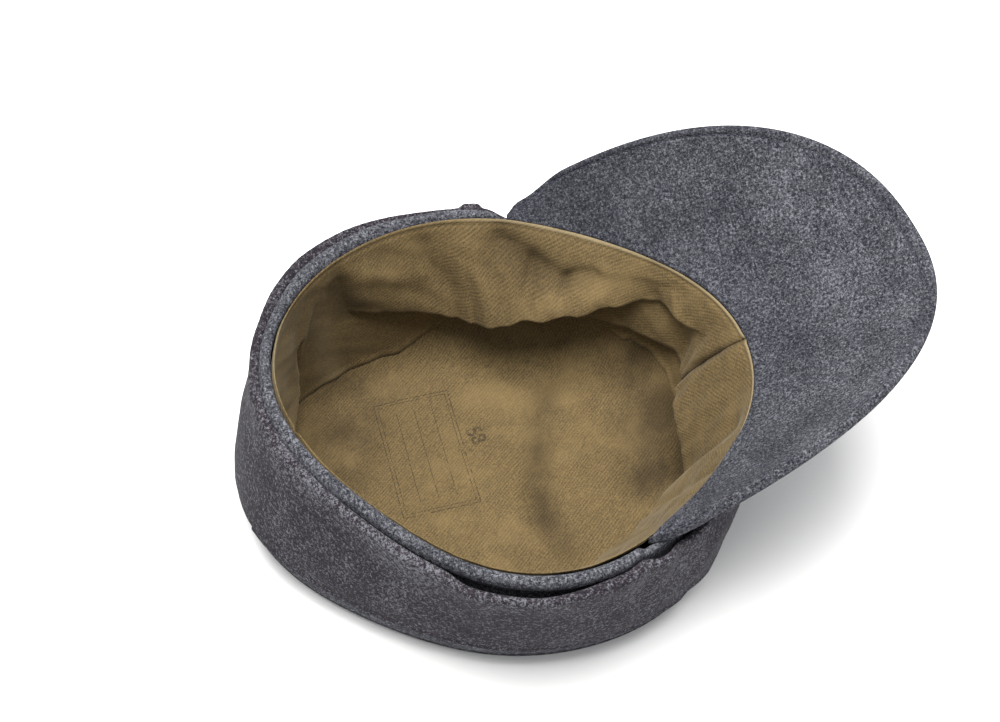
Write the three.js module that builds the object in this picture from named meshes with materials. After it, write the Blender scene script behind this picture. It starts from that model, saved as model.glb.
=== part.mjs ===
// A peaked field cap of felted wool with a twill lining, lying upside down on its crown.
//
// Millimetres, +Z up. The cap's front points along -Y and the surface it lies on is Z = 0.
// Left and right are the wearer's, so the cap's right side is on +X while it lies like this.
// A direction round the cap is an angle in degrees from the front, growing toward +X, and a
// place on a wall is that angle, a height Z and a distance from the Z axis.

import * as THREE from 'three';

// Driving sizes
const HEAD_GIRTH = 579;           // inner edge of the rim
const CROWN_GIRTH = 582;          // outline of the crown's flat top
const RIM_HEIGHT = 76;            // rim above the surface, mean of front and back
const RIM_FRONT_DROP = 2;         // how much lower than the mean the rim is at the front
const WOOL = 2.5;                 // wall of one layer of cloth
const HEM_WIDTH = 4.6;            // rolled hem at the rim, over its whole width
const HEM_DEPTH = 9;              // depth of the hem below the rim
const CROWN_EDGE_ROUND = 6;       // rounding where the crown's top turns up into its side
const CROWN_BELLY = 1.5;          // outward swell of the side at half its height

const FLAP_CLOTH = 3;             // the flap's doubled cloth
const FLAP_FOLD_WIDTH = 4.4;      // the same cloth where it turns over at the rim
const FLAP_FOLD_DROP = 3;         // top of the flap's fold below the rim
const FLAP_EDGE_HEIGHT = 17;      // the flap's free edge above the surface
const FLAP_SCALLOP = 18;          // how far the free edge climbs at the front
const FLAP_SCALLOP_START = 20;    // degrees from the front where the free edge is highest
const FLAP_SCALLOP_END = 62;      // degrees from the front where it is down again
const STRAP_DROP = 11;            // top of the flap's front strap below the rim
const STRAP_ROOT_DROP = 6.5;      // the same where the strap leaves the hem
const STRAP_SLOPE = 30;           // degrees over which the strap comes down from its root
const STRAP_LAP = 9;              // overlap of the two flap ends at the front, half of it
const FLAP_ROOT_ANGLE = 79;       // where the flap is sewn to the rim, from here to the back
const FLAP_ROOT_START = 4;        // degrees in front of that where the sewing begins
const FLAP_ROOT_END = 2;          // degrees behind it where the sewing is full
const LAP_HOLD = 2;               // degrees past the lap over which the upper end stays lifted
const LAP_SETTLE = 14;            // degrees past the lap where it lies on the crown again

const PEAK_CLOTH = 3.5;           // stiffened peak
const PEAK_REACH = 132;           // half length of the oval that the peak's edge follows
const PEAK_HALF_WIDTH = 91;       // half width of that oval
const PEAK_ROOT_ANGLE = 76;       // half angle over which the peak is sewn to the rim
const PEAK_BASE_FORWARD = 33;     // the oval's centre in front of the Z axis
const PEAK_RISE = 0.456;          // climb of the edge for each millimetre forward
const PEAK_BASE_HEIGHT = 51.5;    // height of the oval's plane at its centre
const PEAK_SIDE_LIFT = 31.5;      // climb of the edge at the oval's half width
const PEAK_END_LIFT = 2;          // the edge above the rim where it comes back to it
const PEAK_BOW = 2.5;             // swell of the peak's face between rim and edge
const PEAK_OVAL_POWER = 2.24;     // 2 is an ellipse, more is squarer
const PEAK_END_TURN = 93;         // degrees round the oval to the peak's end; 90 is its widest
const PEAK_END_SHARE = 0.9;       // share of the half edge where it starts to settle on the rim
const PEAK_EDGE_ROLL = 0.03;      // rolled border, a share of the peak's depth
const PEAK_SEAT_START = 1;        // degrees past the peak's end where the crown's side steps up
const PEAK_SEAT_END = 4;          // degrees past it where the side is at the rim's height

const TWILL = 1;                  // lining cloth
const LINING_DROP = 0.6;          // top of the lining below the rim

const BUTTON_RADIUS = 5.5;
const BUTTON_THICKNESS = 2.6;
const BUTTON_SPACING = 14;

const ROLLED_EDGE = 0.3;          // cloth left at the very end of a rolled edge, as a share
const GAP = 0.3;                  // clearance between pieces that touch

// The rim and the crown's top are ovals pressed out of round: each row adds a wave with so
// many crests round the cap, as shares of the mean radius.
const RIM_WAVES = [
  { crests: 1, along: -0.0213, across: 0.0194 },
  { crests: 2, along: 0.0136, across: -0.0590 },
  { crests: 3, along: 0.0339, across: 0.0247 },
  { crests: 4, along: 0.0158, across: -0.0148 },
];
const CROWN_WAVES = [
  { crests: 1, along: -0.1508, across: 0.0002 },
  { crests: 2, along: 0.0645, across: -0.0730 },
  { crests: 3, along: -0.0330, across: 0.0376 },
  { crests: 4, along: 0.0021, across: -0.0133 },
  { crests: 5, along: -0.0009, across: 0.0105 },
];

// Where the rim's cloth swells: centre and half spread in degrees, and how much wider the hem
// and the flap's fold get there, as shares of the hem's width.
const HEM_SWELLS = [
  { at: 121, spread: 33, hem: 0.75, fold: 0.3 },
];

// Where the flap stands off the crown: centre and half spread in degrees, and how far as a
// share of its cloth.
const FLAP_BILLOWS = [
  { at: -56, spread: 44, lift: 0.4 },
  { at: 185, spread: 55, lift: 0.7 },
];

// Sags of the lining: centre and half spread in degrees, height of the fullest part and push
// toward the middle as shares of the rim's height, and the share of the push left at the foot.
const LINING_SAGS = [
  { at: -42, spread: 42, height: 0.30, push: 0.32, foot: 0.90 },
  { at: -66, spread: 52, height: 0.50, push: 0.17, foot: 0.50 },
  { at: 2, spread: 34, height: 0.20, push: 0.08, foot: 0.90 },
  { at: 165, spread: 40, height: 0.40, push: 0.08, foot: 0.60 },
];

// The loose swag along the lining's right side: at each angle the height of its lower lip and
// its push toward the middle, as shares of the rim's height.
const LINING_SWAG = [
  { angle: 0, height: 0.78, push: 0 },
  { angle: 9, height: 0.78, push: 0.10 },
  { angle: 19, height: 0.76, push: 0.12 },
  { angle: 31, height: 0.70, push: 0.13 },
  { angle: 41, height: 0.57, push: 0.14 },
  { angle: 53, height: 0.45, push: 0.14 },
  { angle: 68, height: 0.34, push: 0.15 },
  { angle: 85, height: 0.27, push: 0.20 },
  { angle: 95, height: 0.27, push: 0.08 },
  { angle: 104, height: 0.27, push: 0.12 },
  { angle: 116, height: 0.28, push: 0.10 },
  { angle: 127, height: 0.30, push: 0 },
];
const SWAG_LIP = 0.12;            // depth of the lip's undercut, a share of the rim's height
const SWAG_FOOT = 0.2;            // share of the swag's push left below the lip

// Soft waves of the lining's flat part: direction of the crest in degrees, crests across the
// cap, phase in turns and height as a share of the crown's rounding.
const LINING_RIPPLES = [
  { heading: 20, crests: 2.2, phase: 0.10, height: 0.14 },
  { heading: 75, crests: 1.6, phase: 0.60, height: 0.10 },
];

// A button from the middle of its back round to the middle of its face, as shares of its radius
// and its thickness.
const BUTTON_PROFILE = [
  { radius: 0, height: 0 },
  { radius: 0.9, height: 0 },
  { radius: 1, height: 0.35 },
  { radius: 0.9, height: 0.9 },
  { radius: 0.7, height: 1 },
  { radius: 0, height: 0.75 },
];

const COLOURS = {
  wool: 0x4b4f5a,
  peakWool: 0x484c57,
  twill: 0x7a6848,
  button: 0x3a3a3c,
};

// Small maths
const radians = THREE.MathUtils.degToRad;
const mix = THREE.MathUtils.lerp;
const { smoothstep } = THREE.MathUtils;
const share = (value, low, high) => THREE.MathUtils.clamp((value - low) / (high - low), 0, 1);

// Signed difference of two directions in degrees, from -180 to 180
const turnBetween = (from, to) => ((to - from + 540) % 360 + 360) % 360 - 180;

// Turn away from the cap's front in degrees, to either side
const fromFront = (angle) => Math.abs(turnBetween(0, angle));

// A smooth hump that is 1 at its centre and 0 at its spread and beyond
function hump(angle, centre, spread) {
  const reach = Math.min(Math.abs(turnBetween(centre, angle)) / spread, 1);
  return 0.5 + 0.5 * Math.cos(Math.PI * reach);
}

// Radius of an oval of unit mean radius with the waves of a table
function waveRadius(waves, angle) {
  const turn = radians(angle);
  return waves.reduce((sum, wave) => sum
    + wave.along * Math.cos(wave.crests * turn)
    + wave.across * Math.sin(wave.crests * turn), 1);
}

// Mean radius that gives the waved oval this girth
function meanRadius(waves, girth) {
  const steps = 720;
  let length = 0;
  for (let step = 0; step < steps; step += 1) {
    const from = pointAt(step * 360 / steps, waveRadius(waves, step * 360 / steps), 0);
    const toAngle = (step + 1) * 360 / steps;
    length += from.distanceTo(pointAt(toAngle, waveRadius(waves, toAngle), 0));
  }
  return girth / length;
}

// A point from its direction round the cap, its distance from the Z axis and its height
function pointAt(angle, radius, height) {
  const turn = radians(angle);
  return new THREE.Vector3(radius * Math.sin(turn), -radius * Math.cos(turn), height);
}

const rimMean = meanRadius(RIM_WAVES, HEAD_GIRTH);
const crownMean = meanRadius(CROWN_WAVES, CROWN_GIRTH);

// Half of the clearance between two pieces that meet round the cap, and half of the lap of the
// flap's ends, in degrees
const seamDegrees = THREE.MathUtils.radToDeg(GAP / 2 / rimMean);
const lapDegrees = THREE.MathUtils.radToDeg(STRAP_LAP / rimMean);

// The rim's inner edge and the crown's foot
const rimRadius = (angle) => rimMean * waveRadius(RIM_WAVES, angle);
const rimHeight = (angle) => RIM_HEIGHT - RIM_FRONT_DROP * Math.cos(radians(angle));
const footRadius = (angle) => crownMean * waveRadius(CROWN_WAVES, angle);

// Width of the hem and of the flap's fold with their swells
function swollen(width, column, angle) {
  return HEM_SWELLS.reduce((sum, swell) => sum
    + HEM_WIDTH * swell[column] * hump(angle, swell.at, swell.spread), width);
}

// Share of a rolled edge's thickness left at a depth below its top
function rolled(depth, roll) {
  const reach = share(depth, 0, roll);
  return Math.max(Math.sqrt(1 - (1 - reach) ** 2), ROLLED_EDGE);
}

// Outer face of the crown's side without its hem, from foot to rim
function sideRadius(angle, height) {
  const climb = share(height, CROWN_EDGE_ROUND, rimHeight(angle));
  const belly = CROWN_BELLY * Math.sin(Math.PI * climb);
  return mix(footRadius(angle), rimRadius(angle) + WOOL, climb) + belly;
}

// Extra cloth of the hem outside the side's face
function hemSwell(angle, height) {
  const extra = swollen(HEM_WIDTH, 'hem', angle) - WOOL;
  const top = rimHeight(angle);
  return extra * smoothstep(height, top - HEM_DEPTH, top - HEM_DEPTH / 2);
}

const sideWithHem = (angle, height) => sideRadius(angle, height) + hemSwell(angle, height);

// The crown's side ends under the peak's cloth where the peak is sewn on
const peakSeat = PEAK_CLOTH + 2 * GAP;
const seatStart = PEAK_ROOT_ANGLE + PEAK_SEAT_START;
const seatEnd = PEAK_ROOT_ANGLE + PEAK_SEAT_END;
const sideTop = (angle) => rimHeight(angle)
  - peakSeat * (1 - smoothstep(fromFront(angle), seatStart, seatEnd));

// Angles from start to end with a column at each share of the way and at each extra angle, which
// takes the place of an even column closer to it than a third of their spacing
function columnsBetween(start, end, count, extras = []) {
  const even = Array.from({ length: count + 1 }, (_, step) => mix(start, end, step / count));
  const inside = extras.filter((angle) => angle > start && angle < end);
  const room = (end - start) / count / 3;
  const kept = even.filter((angle, step) => step === 0 || step === count
    || inside.every((extra) => Math.abs(extra - angle) > room));
  return [...kept, ...inside].sort((a, b) => a - b);
}

// A closed body from two faces, each a grid of rows and columns: point(row, column, face) gives
// a corner, with face 0 or 1. The columns may close into a ring, and row 0 may be one point.
function shellGeometry(rows, columns, point, { ring = false, pole = false } = {}) {
  const positions = [];
  const add = (corner) => positions.push(corner.x, corner.y, corner.z) / 3 - 1;
  const grids = [0, 1].map((face) => rows.map((row, rowIndex) => {
    if (pole && rowIndex === 0) {
      const top = add(point(row, columns[0], face));
      return columns.map(() => top);
    }
    return columns.map((column) => add(point(row, column, face)));
  }));
  const indices = [];
  const triangle = (a, b, c) => {
    if (a !== b && b !== c && c !== a) indices.push(a, b, c);
  };
  const quad = (a, b, c, d) => {
    triangle(a, b, c);
    triangle(a, c, d);
  };
  const lastRow = rows.length - 1;
  const lastColumn = ring ? columns.length : columns.length - 1;
  for (let column = 0; column < lastColumn; column += 1) {
    const next = (column + 1) % columns.length;
    for (let row = 0; row < lastRow; row += 1) {
      const [inner, outer] = grids;
      quad(outer[row][column], outer[row][next], outer[row + 1][next], outer[row + 1][column]);
      quad(inner[row][next], inner[row][column], inner[row + 1][column], inner[row + 1][next]);
    }
    const [inner, outer] = grids;
    quad(outer[lastRow][column], outer[lastRow][next], inner[lastRow][next], inner[lastRow][column]);
    if (!pole) quad(outer[0][next], outer[0][column], inner[0][column], inner[0][next]);
  }
  if (!ring) {
    const [inner, outer] = grids;
    for (let row = 0; row < lastRow; row += 1) {
      quad(outer[row][0], outer[row + 1][0], inner[row + 1][0], inner[row][0]);
      quad(outer[row + 1][lastColumn], outer[row][lastColumn], inner[row][lastColumn],
        inner[row + 1][lastColumn]);
    }
  }
  return outwardGeometry(positions, indices);
}

// Indexed geometry whose faces point out, whichever way round its grid ran
function outwardGeometry(positions, indices) {
  const corner = (index) => new THREE.Vector3().fromArray(positions, 3 * index);
  let volume = 0;
  for (let at = 0; at < indices.length; at += 3) {
    const [a, b, c] = indices.slice(at, at + 3).map(corner);
    volume += a.dot(b.cross(c));
  }
  const facing = volume > 0 ? indices : indices.slice().reverse();
  const geometry = new THREE.BufferGeometry();
  geometry.setAttribute('position', new THREE.Float32BufferAttribute(positions, 3));
  geometry.setIndex(facing);
  geometry.computeVertexNormals();
  return geometry;
}

const cap = new THREE.Group();

function addPiece(name, geometry, colour, roughness = 0.95, metalness = 0) {
  const material = new THREE.MeshStandardMaterial({ color: colour, roughness, metalness });
  const piece = new THREE.Mesh(geometry, material);
  piece.name = name;
  cap.add(piece);
  return piece;
}

// Crown top: a flat oval panel whose edge turns up to meet the side. Rows run to 1 over the flat
// part and on to 2 over the rounded border, which stops a gap short of the side.
function crownTop() {
  const rows = [0, 0.35, 0.7, 1, 1.5, 1.75, 1.9, 2];
  const columns = columnsBetween(0, 360, 56).slice(0, -1);
  const point = (row, angle, face) => {
    const turn = 0.5 * Math.PI * share(row, 1, 2);
    const thickness = face === 1 ? 0 : WOOL;
    const bend = CROWN_EDGE_ROUND - thickness;
    const flatRadius = (footRadius(angle) - CROWN_EDGE_ROUND) * Math.min(row, 1);
    const height = CROWN_EDGE_ROUND - bend * Math.cos(turn);
    return pointAt(angle, flatRadius + bend * Math.sin(turn), row === 2 ? height - GAP : height);
  };
  return shellGeometry(rows, columns, point, { ring: true, pole: true });
}

// One half of the crown's side, from the foot to the rolled rim
function crownSide(start, end) {
  const rows = [0, 0.18, 0.38, 0.58, 0.76, 0.88, 0.93, 0.965, 0.985, 1];
  const extras = [seatStart, seatEnd, 360 - seatStart, 360 - seatEnd];
  const columns = columnsBetween(start + seamDegrees, end - seamDegrees, 30, extras);
  const point = (row, angle, face) => {
    const top = sideTop(angle);
    const height = mix(CROWN_EDGE_ROUND, top, row);
    const inner = sideRadius(angle, height) - WOOL;
    const outer = sideWithHem(angle, height);
    const middle = (inner + outer) / 2;
    const half = (outer - inner) / 2 * rolled(top - height, HEM_WIDTH / 2);
    return pointAt(angle, middle + (face === 1 ? half : -half), height);
  };
  return shellGeometry(rows, columns, point);
}

// The flap's upper and lower edges: sewn to the rim behind the root angle, and in front of it a
// free strap that passes below the peak and narrows in a scallop
const rootStart = FLAP_ROOT_ANGLE - FLAP_ROOT_START;
const rootEnd = FLAP_ROOT_ANGLE + FLAP_ROOT_END;
const flapSewn = (angle) => smoothstep(fromFront(angle), rootStart, rootEnd);
const strapSlope = (angle) => smoothstep(
  fromFront(angle), FLAP_ROOT_ANGLE - STRAP_SLOPE, FLAP_ROOT_ANGLE);

function flapTop(angle) {
  const strapDrop = mix(STRAP_DROP, STRAP_ROOT_DROP, strapSlope(angle));
  return rimHeight(angle) - mix(strapDrop, FLAP_FOLD_DROP, flapSewn(angle));
}

function flapBottom(angle) {
  const down = smoothstep(fromFront(angle), FLAP_SCALLOP_START, FLAP_SCALLOP_END);
  return FLAP_EDGE_HEIGHT + FLAP_SCALLOP * (1 - down);
}

// How far the upper flap end is lifted over the lower one near the front
const lapLift = FLAP_CLOTH + GAP;
const liftedLap = (angle) => lapLift
  * (1 - smoothstep(fromFront(angle), lapDegrees + LAP_HOLD, lapDegrees + LAP_SETTLE));

// Inner face of the flap: it hangs straight from the hem, stands off the crown in its billows
// and is lifted over the other end where the two ends cross at the front
function flapInner(angle, height, lap) {
  const climb = share(height, flapBottom(angle), flapTop(angle));
  const hem = swollen(HEM_WIDTH, 'hem', angle) - WOOL;
  const hang = Math.max(hemSwell(angle, height), hem * climb);
  const billow = FLAP_BILLOWS.reduce((sum, row) => sum
    + FLAP_CLOTH * row.lift * hump(angle, row.at, row.spread), 0);
  return sideRadius(angle, height) + GAP + hang + lap
    + billow * (1 - climb * flapSewn(angle));
}

function flapHalf(start, end, lapAt) {
  const rows = [0, 0.03, 0.2, 0.4, 0.6, 0.78, 0.9, 0.96, 1];
  const lapEnd = lapDegrees + LAP_SETTLE;
  const extras = [lapDegrees, rootStart, FLAP_ROOT_ANGLE, rootEnd,
    360 - rootStart, 360 - FLAP_ROOT_ANGLE, 360 - rootEnd,
    360 - lapEnd, 360 - (lapDegrees + lapEnd) / 2, 360 - lapDegrees - LAP_HOLD, 360 - lapDegrees];
  const columns = columnsBetween(start, end, 32, extras);
  const point = (row, angle, face) => {
    const top = flapTop(angle);
    const bottom = flapBottom(angle);
    const height = mix(bottom, top, row);
    const fold = mix(FLAP_CLOTH, swollen(FLAP_FOLD_WIDTH, 'fold', angle), flapSewn(angle));
    const cloth = mix(FLAP_CLOTH, fold, smoothstep(height, top - 2 * HEM_DEPTH, top));
    const edge = Math.min(rolled(top - height, FLAP_FOLD_WIDTH),
      rolled(height - bottom, FLAP_CLOTH));
    const inner = flapInner(angle, height, lapAt(angle));
    const middle = inner + cloth / 2;
    return pointAt(angle, middle + (face === 1 ? 0.5 : -0.5) * cloth * edge, height);
  };
  return shellGeometry(rows, columns, point);
}

// Outer edge of the peak: an oval squared off by its power, climbing forward and to the sides
function peakEdge(along) {
  const turn = along * radians(PEAK_END_TURN);
  const power = 2 / PEAK_OVAL_POWER;
  const forward = Math.sign(Math.cos(turn)) * Math.abs(Math.cos(turn)) ** power;
  const sideways = Math.sign(Math.sin(turn)) * Math.abs(Math.sin(turn)) ** power;
  const ahead = PEAK_REACH * forward;
  const height = PEAK_BASE_HEIGHT + PEAK_RISE * ahead + PEAK_SIDE_LIFT * sideways ** 2;
  return new THREE.Vector3(PEAK_HALF_WIDTH * sideways, -(PEAK_BASE_FORWARD + ahead), height);
}

// A point midway through the peak's cloth: along from -1 at its left end to 1 at its right end, out
// from 0 at the rim to 1 at its edge
function peakFace(along, out) {
  const angle = along * PEAK_ROOT_ANGLE;
  const root = pointAt(angle, rimRadius(angle) + PEAK_CLOTH / 4, rimHeight(angle) - PEAK_CLOTH / 2);
  const edge = peakEdge(along);
  const settle = smoothstep(Math.abs(along), PEAK_END_SHARE, 1);
  edge.z = mix(edge.z, root.z + PEAK_END_LIFT, settle);
  const bow = PEAK_BOW * (1 - along * along) * Math.sin(Math.PI * out);
  return root.lerp(edge, out).add(new THREE.Vector3(0, 0, -bow));
}

function peak() {
  const rows = [0, 0.08, 0.25, 0.5, 0.75, 0.92, 0.97, 1];
  const columns = columnsBetween(-1, 1, 40);
  const step = 0.01;
  const point = (out, along, face) => {
    const here = peakFace(along, out);
    const sideways = peakFace(Math.min(along + step, 1), out)
      .sub(peakFace(Math.max(along - step, -1), out));
    const outward = peakFace(along, Math.min(out + step, 1))
      .sub(peakFace(along, Math.max(out - step, 0)));
    const up = outward.cross(sideways).normalize();
    if (up.z < 0) up.negate();
    const edge = rolled(1 - out, PEAK_EDGE_ROLL);
    const side = face === 1 ? 0.5 : -0.5;
    return here.addScaledVector(up, side * PEAK_CLOTH * edge);
  };
  return shellGeometry(rows, columns, point);
}

// A column of a table of rows by angle, eased from row to row and zero outside it
function easedColumn(table, column, angle) {
  const turn = turnBetween(0, angle);
  const next = table.findIndex((row) => row.angle >= turn);
  if (next < 1) return next === 0 && table[0].angle === turn ? table[0][column] : 0;
  const [low, high] = [table[next - 1], table[next]];
  return mix(low[column], high[column], smoothstep(turn, low.angle, high.angle));
}

// Push of the swag: it grows from the rim down to the lip and falls away under it
function swagPush(angle, height) {
  const lip = easedColumn(LINING_SWAG, 'height', angle) * RIM_HEIGHT;
  const push = easedColumn(LINING_SWAG, 'push', angle) * RIM_HEIGHT;
  const above = 1 - share(height, lip, rimHeight(angle));
  const below = mix(SWAG_FOOT, 1, smoothstep(height, lip - SWAG_LIP * RIM_HEIGHT, lip));
  return push * (height > lip ? above : below);
}

// How far the lining's side sags toward the middle at a height
function liningSag(angle, height) {
  const top = rimHeight(angle);
  return LINING_SAGS.reduce((sum, sag) => {
    const fullest = sag.height * RIM_HEIGHT;
    const above = 1 - share(height, fullest, top);
    const below = mix(sag.foot, 1, smoothstep(height, 0, fullest));
    const reach = height > fullest ? above : below;
    return sum + sag.push * RIM_HEIGHT * hump(angle, sag.at, sag.spread) * reach;
  }, swagPush(angle, height));
}

// Outer face of the lining's side
const liningRadius = (angle, height) => sideRadius(angle, height) - WOOL - GAP
  - liningSag(angle, height);

// Upper face of the lining's flat part
function liningFloor(x, y) {
  const base = WOOL + GAP + TWILL;
  return LINING_RIPPLES.reduce((sum, ripple) => {
    const turn = radians(ripple.heading);
    const across = (x * Math.cos(turn) + y * Math.sin(turn)) / (2 * crownMean);
    const wave = 0.5 + 0.5 * Math.cos(2 * Math.PI * (across * ripple.crests + ripple.phase));
    return sum + ripple.height * CROWN_EDGE_ROUND * wave;
  }, base);
}

function liningTop() {
  const rows = [0, 0.2, 0.4, 0.6, 0.8, 1];
  const columns = columnsBetween(0, 360, 48).slice(0, -1);
  const point = (row, angle, face) => {
    const reach = footRadius(angle) - CROWN_EDGE_ROUND;
    const place = pointAt(angle, row * reach, 0);
    const upper = liningFloor(place.x, place.y);
    return place.setZ(face === 1 ? upper : upper - TWILL);
  };
  return shellGeometry(rows, columns, point, { ring: true, pole: true });
}

function liningSide(start, end) {
  const rows = [0, 0.12, 0.24, 0.36, 0.48, 0.62, 0.78, 0.92, 1];
  const columns = columnsBetween(start + seamDegrees, end - seamDegrees, 32);
  const ripples = LINING_RIPPLES.reduce((sum, ripple) => sum + ripple.height, 0);
  const foot = WOOL + 2 * GAP + TWILL + ripples * CROWN_EDGE_ROUND;
  const point = (row, angle, face) => {
    const height = mix(foot, rimHeight(angle) - LINING_DROP, row);
    const outer = liningRadius(angle, height);
    return pointAt(angle, face === 1 ? outer : outer - TWILL, height);
  };
  return shellGeometry(rows, columns, point);
}

// A flat button sewn on the flap's upper end, facing forward
function button(height) {
  const profile = BUTTON_PROFILE.map((row) => (
    new THREE.Vector2(row.radius * BUTTON_RADIUS, row.height * BUTTON_THICKNESS)));
  const geometry = new THREE.LatheGeometry(profile, 16);
  const outerFace = (z) => flapInner(0, z, lapLift) + FLAP_CLOTH;
  const lean = Math.atan2(outerFace(height + 1) - outerFace(height - 1), 2);
  const seat = outerFace(height) + GAP;
  geometry.rotateX(Math.PI + lean);
  geometry.translate(0, -seat, height);
  return geometry;
}

addPiece('crown_top', crownTop(), COLOURS.wool);
addPiece('crown_side_right', crownSide(0, 180), COLOURS.wool);
addPiece('crown_side_left', crownSide(180, 360), COLOURS.wool);
addPiece('flap_right', flapHalf(-lapDegrees, 180 - seamDegrees, () => 0), COLOURS.wool);
addPiece('flap_left', flapHalf(180 + seamDegrees, 360 + lapDegrees, liftedLap), COLOURS.wool);
addPiece('peak', peak(), COLOURS.peakWool);
addPiece('lining_top', liningTop(), COLOURS.twill);
addPiece('lining_side_right', liningSide(0, 180), COLOURS.twill);
addPiece('lining_side_left', liningSide(180, 360), COLOURS.twill);

const strapMiddle = (flapTop(0) + flapBottom(0)) / 2;
addPiece('flap_button_upper', button(strapMiddle - BUTTON_SPACING / 2), COLOURS.button, 0.6);
addPiece('flap_button_lower', button(strapMiddle + BUTTON_SPACING / 2), COLOURS.button, 0.6);

export default cap;
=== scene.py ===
# %% [markdown]
# # A peaked field cap, lying upside down
#
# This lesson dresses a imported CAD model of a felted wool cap. The cap lies on its crown, so we
# look down into its twill lining. Every shape here is a formula on a grid of points: a direction
# round the cap and a height give a distance from the middle, and numpy works out the whole grid
# at once. The CAD model and this scene share one frame: metres in Blender, the cap's front
# along -Y, its crown on Z = 0. The formulas below work in millimetres and are scaled at the end.

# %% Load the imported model
import math

import bpy
import numpy as np
from mathutils import Matrix


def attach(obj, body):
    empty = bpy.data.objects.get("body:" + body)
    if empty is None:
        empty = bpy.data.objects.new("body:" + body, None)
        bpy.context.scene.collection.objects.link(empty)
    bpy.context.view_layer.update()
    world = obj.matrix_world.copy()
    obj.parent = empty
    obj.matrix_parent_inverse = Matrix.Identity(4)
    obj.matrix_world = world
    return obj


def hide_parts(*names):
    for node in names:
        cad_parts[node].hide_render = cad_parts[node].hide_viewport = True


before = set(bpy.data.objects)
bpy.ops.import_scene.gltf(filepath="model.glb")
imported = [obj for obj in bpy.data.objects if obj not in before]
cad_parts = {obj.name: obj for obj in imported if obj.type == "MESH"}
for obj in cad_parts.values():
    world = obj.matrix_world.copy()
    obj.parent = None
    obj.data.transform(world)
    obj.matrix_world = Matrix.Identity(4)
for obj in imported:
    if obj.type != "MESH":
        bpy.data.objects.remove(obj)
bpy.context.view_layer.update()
print("nodes:", sorted(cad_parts))

# %% [markdown]
# ## The sizes that the cap is made from
#
# A cap is cut from a few sizes: the girth of the head opening, the girth of the crown's flat top
# and the height between them. They are the CAD model's own sizes, so a new surface lands exactly
# where the solid is. The two ovals are pressed out of round, and each row of a table adds one
# wave with so many crests round the cap, as a share of the mean radius.

# %% Sizes in millimetres
MM = 0.001
HEAD_GIRTH, CROWN_GIRTH = 579, 582
RIM_HEIGHT, RIM_FRONT_DROP = 76, 2
WOOL, TWILL, GAP = 2.5, 1, 0.3
HEM_WIDTH, HEM_DEPTH = 4.6, 9
CROWN_EDGE_ROUND, CROWN_BELLY = 6, 1.5

RIM_WAVES = [  # crests, along, across
    (1, -0.0213, 0.0194),
    (2, 0.0136, -0.0590),
    (3, 0.0339, 0.0247),
    (4, 0.0158, -0.0148),
]
CROWN_WAVES = [
    (1, -0.1508, 0.0002),
    (2, 0.0645, -0.0730),
    (3, -0.0330, 0.0376),
    (4, 0.0021, -0.0133),
    (5, -0.0009, 0.0105),
]
print("rim and crown ovals have", len(RIM_WAVES), "and", len(CROWN_WAVES), "waves")


# %% Small maths on whole arrays
def share(value, low, high):
    """How far value is on the way from low to high, kept between 0 and 1."""
    return np.clip((value - low) / (high - low), 0, 1)


def ease(value, low, high):
    """The same share s, eased at both ends: 3 s squared less 2 s cubed."""
    part = share(value, low, high)
    return part * part * (3 - 2 * part)


def plateau(value, start, full, fade, end):
    """Eased up from 0 at start to 1 at full, and down again from fade to end."""
    return ease(value, start, full) * (1 - ease(value, fade, end))


def mix(first, second, part):
    """First plus part of the way to second."""
    return first + (second - first) * part


def turn_between(start, end):
    """Signed turn from one direction to another in degrees, from -180 to 180."""
    return (end - start + 180) % 360 - 180


def hump(angle, centre, spread):
    """A cosine hump: 1 at its centre, 0 from its spread on."""
    reach = np.minimum(np.abs(turn_between(centre, angle)) / spread, 1)
    return 0.5 + 0.5 * np.cos(np.pi * reach)


def bell(value, centre, width):
    """A bell curve: exp of minus (distance from its centre over its width) squared."""
    return np.exp(-(((value - centre) / width) ** 2))


def ring_angles(count):
    """Directions all the way round, as one row of a grid."""
    return np.linspace(0, 360, count, endpoint=False)[None, :]


def point_at(angle, radius, height):
    """A point from its direction, its distance from the Z axis and its height."""
    turn = np.radians(angle)
    places = np.broadcast_arrays(radius * np.sin(turn), -radius * np.cos(turn), height)
    return np.stack(places, axis=-1)


def wave_radius(waves, angle):
    """One plus the sum of each wave's cosine and sine, so many crests to a turn."""
    turn = np.radians(angle)
    return 1 + sum(a * np.cos(k * turn) + b * np.sin(k * turn) for k, a, b in waves)


def mean_radius(waves, girth):
    """The radius that gives the waved oval this girth."""
    angle = np.linspace(0, 360, 721)
    points = point_at(angle, wave_radius(waves, angle), 0 * angle)
    return girth / np.linalg.norm(np.diff(points, axis=0), axis=1).sum()


RIM_MEAN = mean_radius(RIM_WAVES, HEAD_GIRTH)
CROWN_MEAN = mean_radius(CROWN_WAVES, CROWN_GIRTH)
DEGREE = math.radians(1) * RIM_MEAN  # millimetres of cloth to a degree round the rim
print("mean radii:", round(RIM_MEAN, 2), round(CROWN_MEAN, 2))


# %% The wool wall between crown and rim
def rim_radius(angle):
    """Inner edge of the rim."""
    return RIM_MEAN * wave_radius(RIM_WAVES, angle)


def rim_height(angle):
    """The rim is a little lower at the front: a cosine of the direction."""
    return RIM_HEIGHT - RIM_FRONT_DROP * np.cos(np.radians(angle))


def foot_radius(angle):
    """Outline of the crown's flat top."""
    return CROWN_MEAN * wave_radius(CROWN_WAVES, angle)


def side_radius(angle, height):
    """Outer face of the side: straight from foot to rim, plus half a sine wave of belly."""
    climb = share(height, CROWN_EDGE_ROUND, rim_height(angle))
    straight = mix(foot_radius(angle), rim_radius(angle) + WOOL, climb)
    return straight + CROWN_BELLY * np.sin(np.pi * climb)


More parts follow.
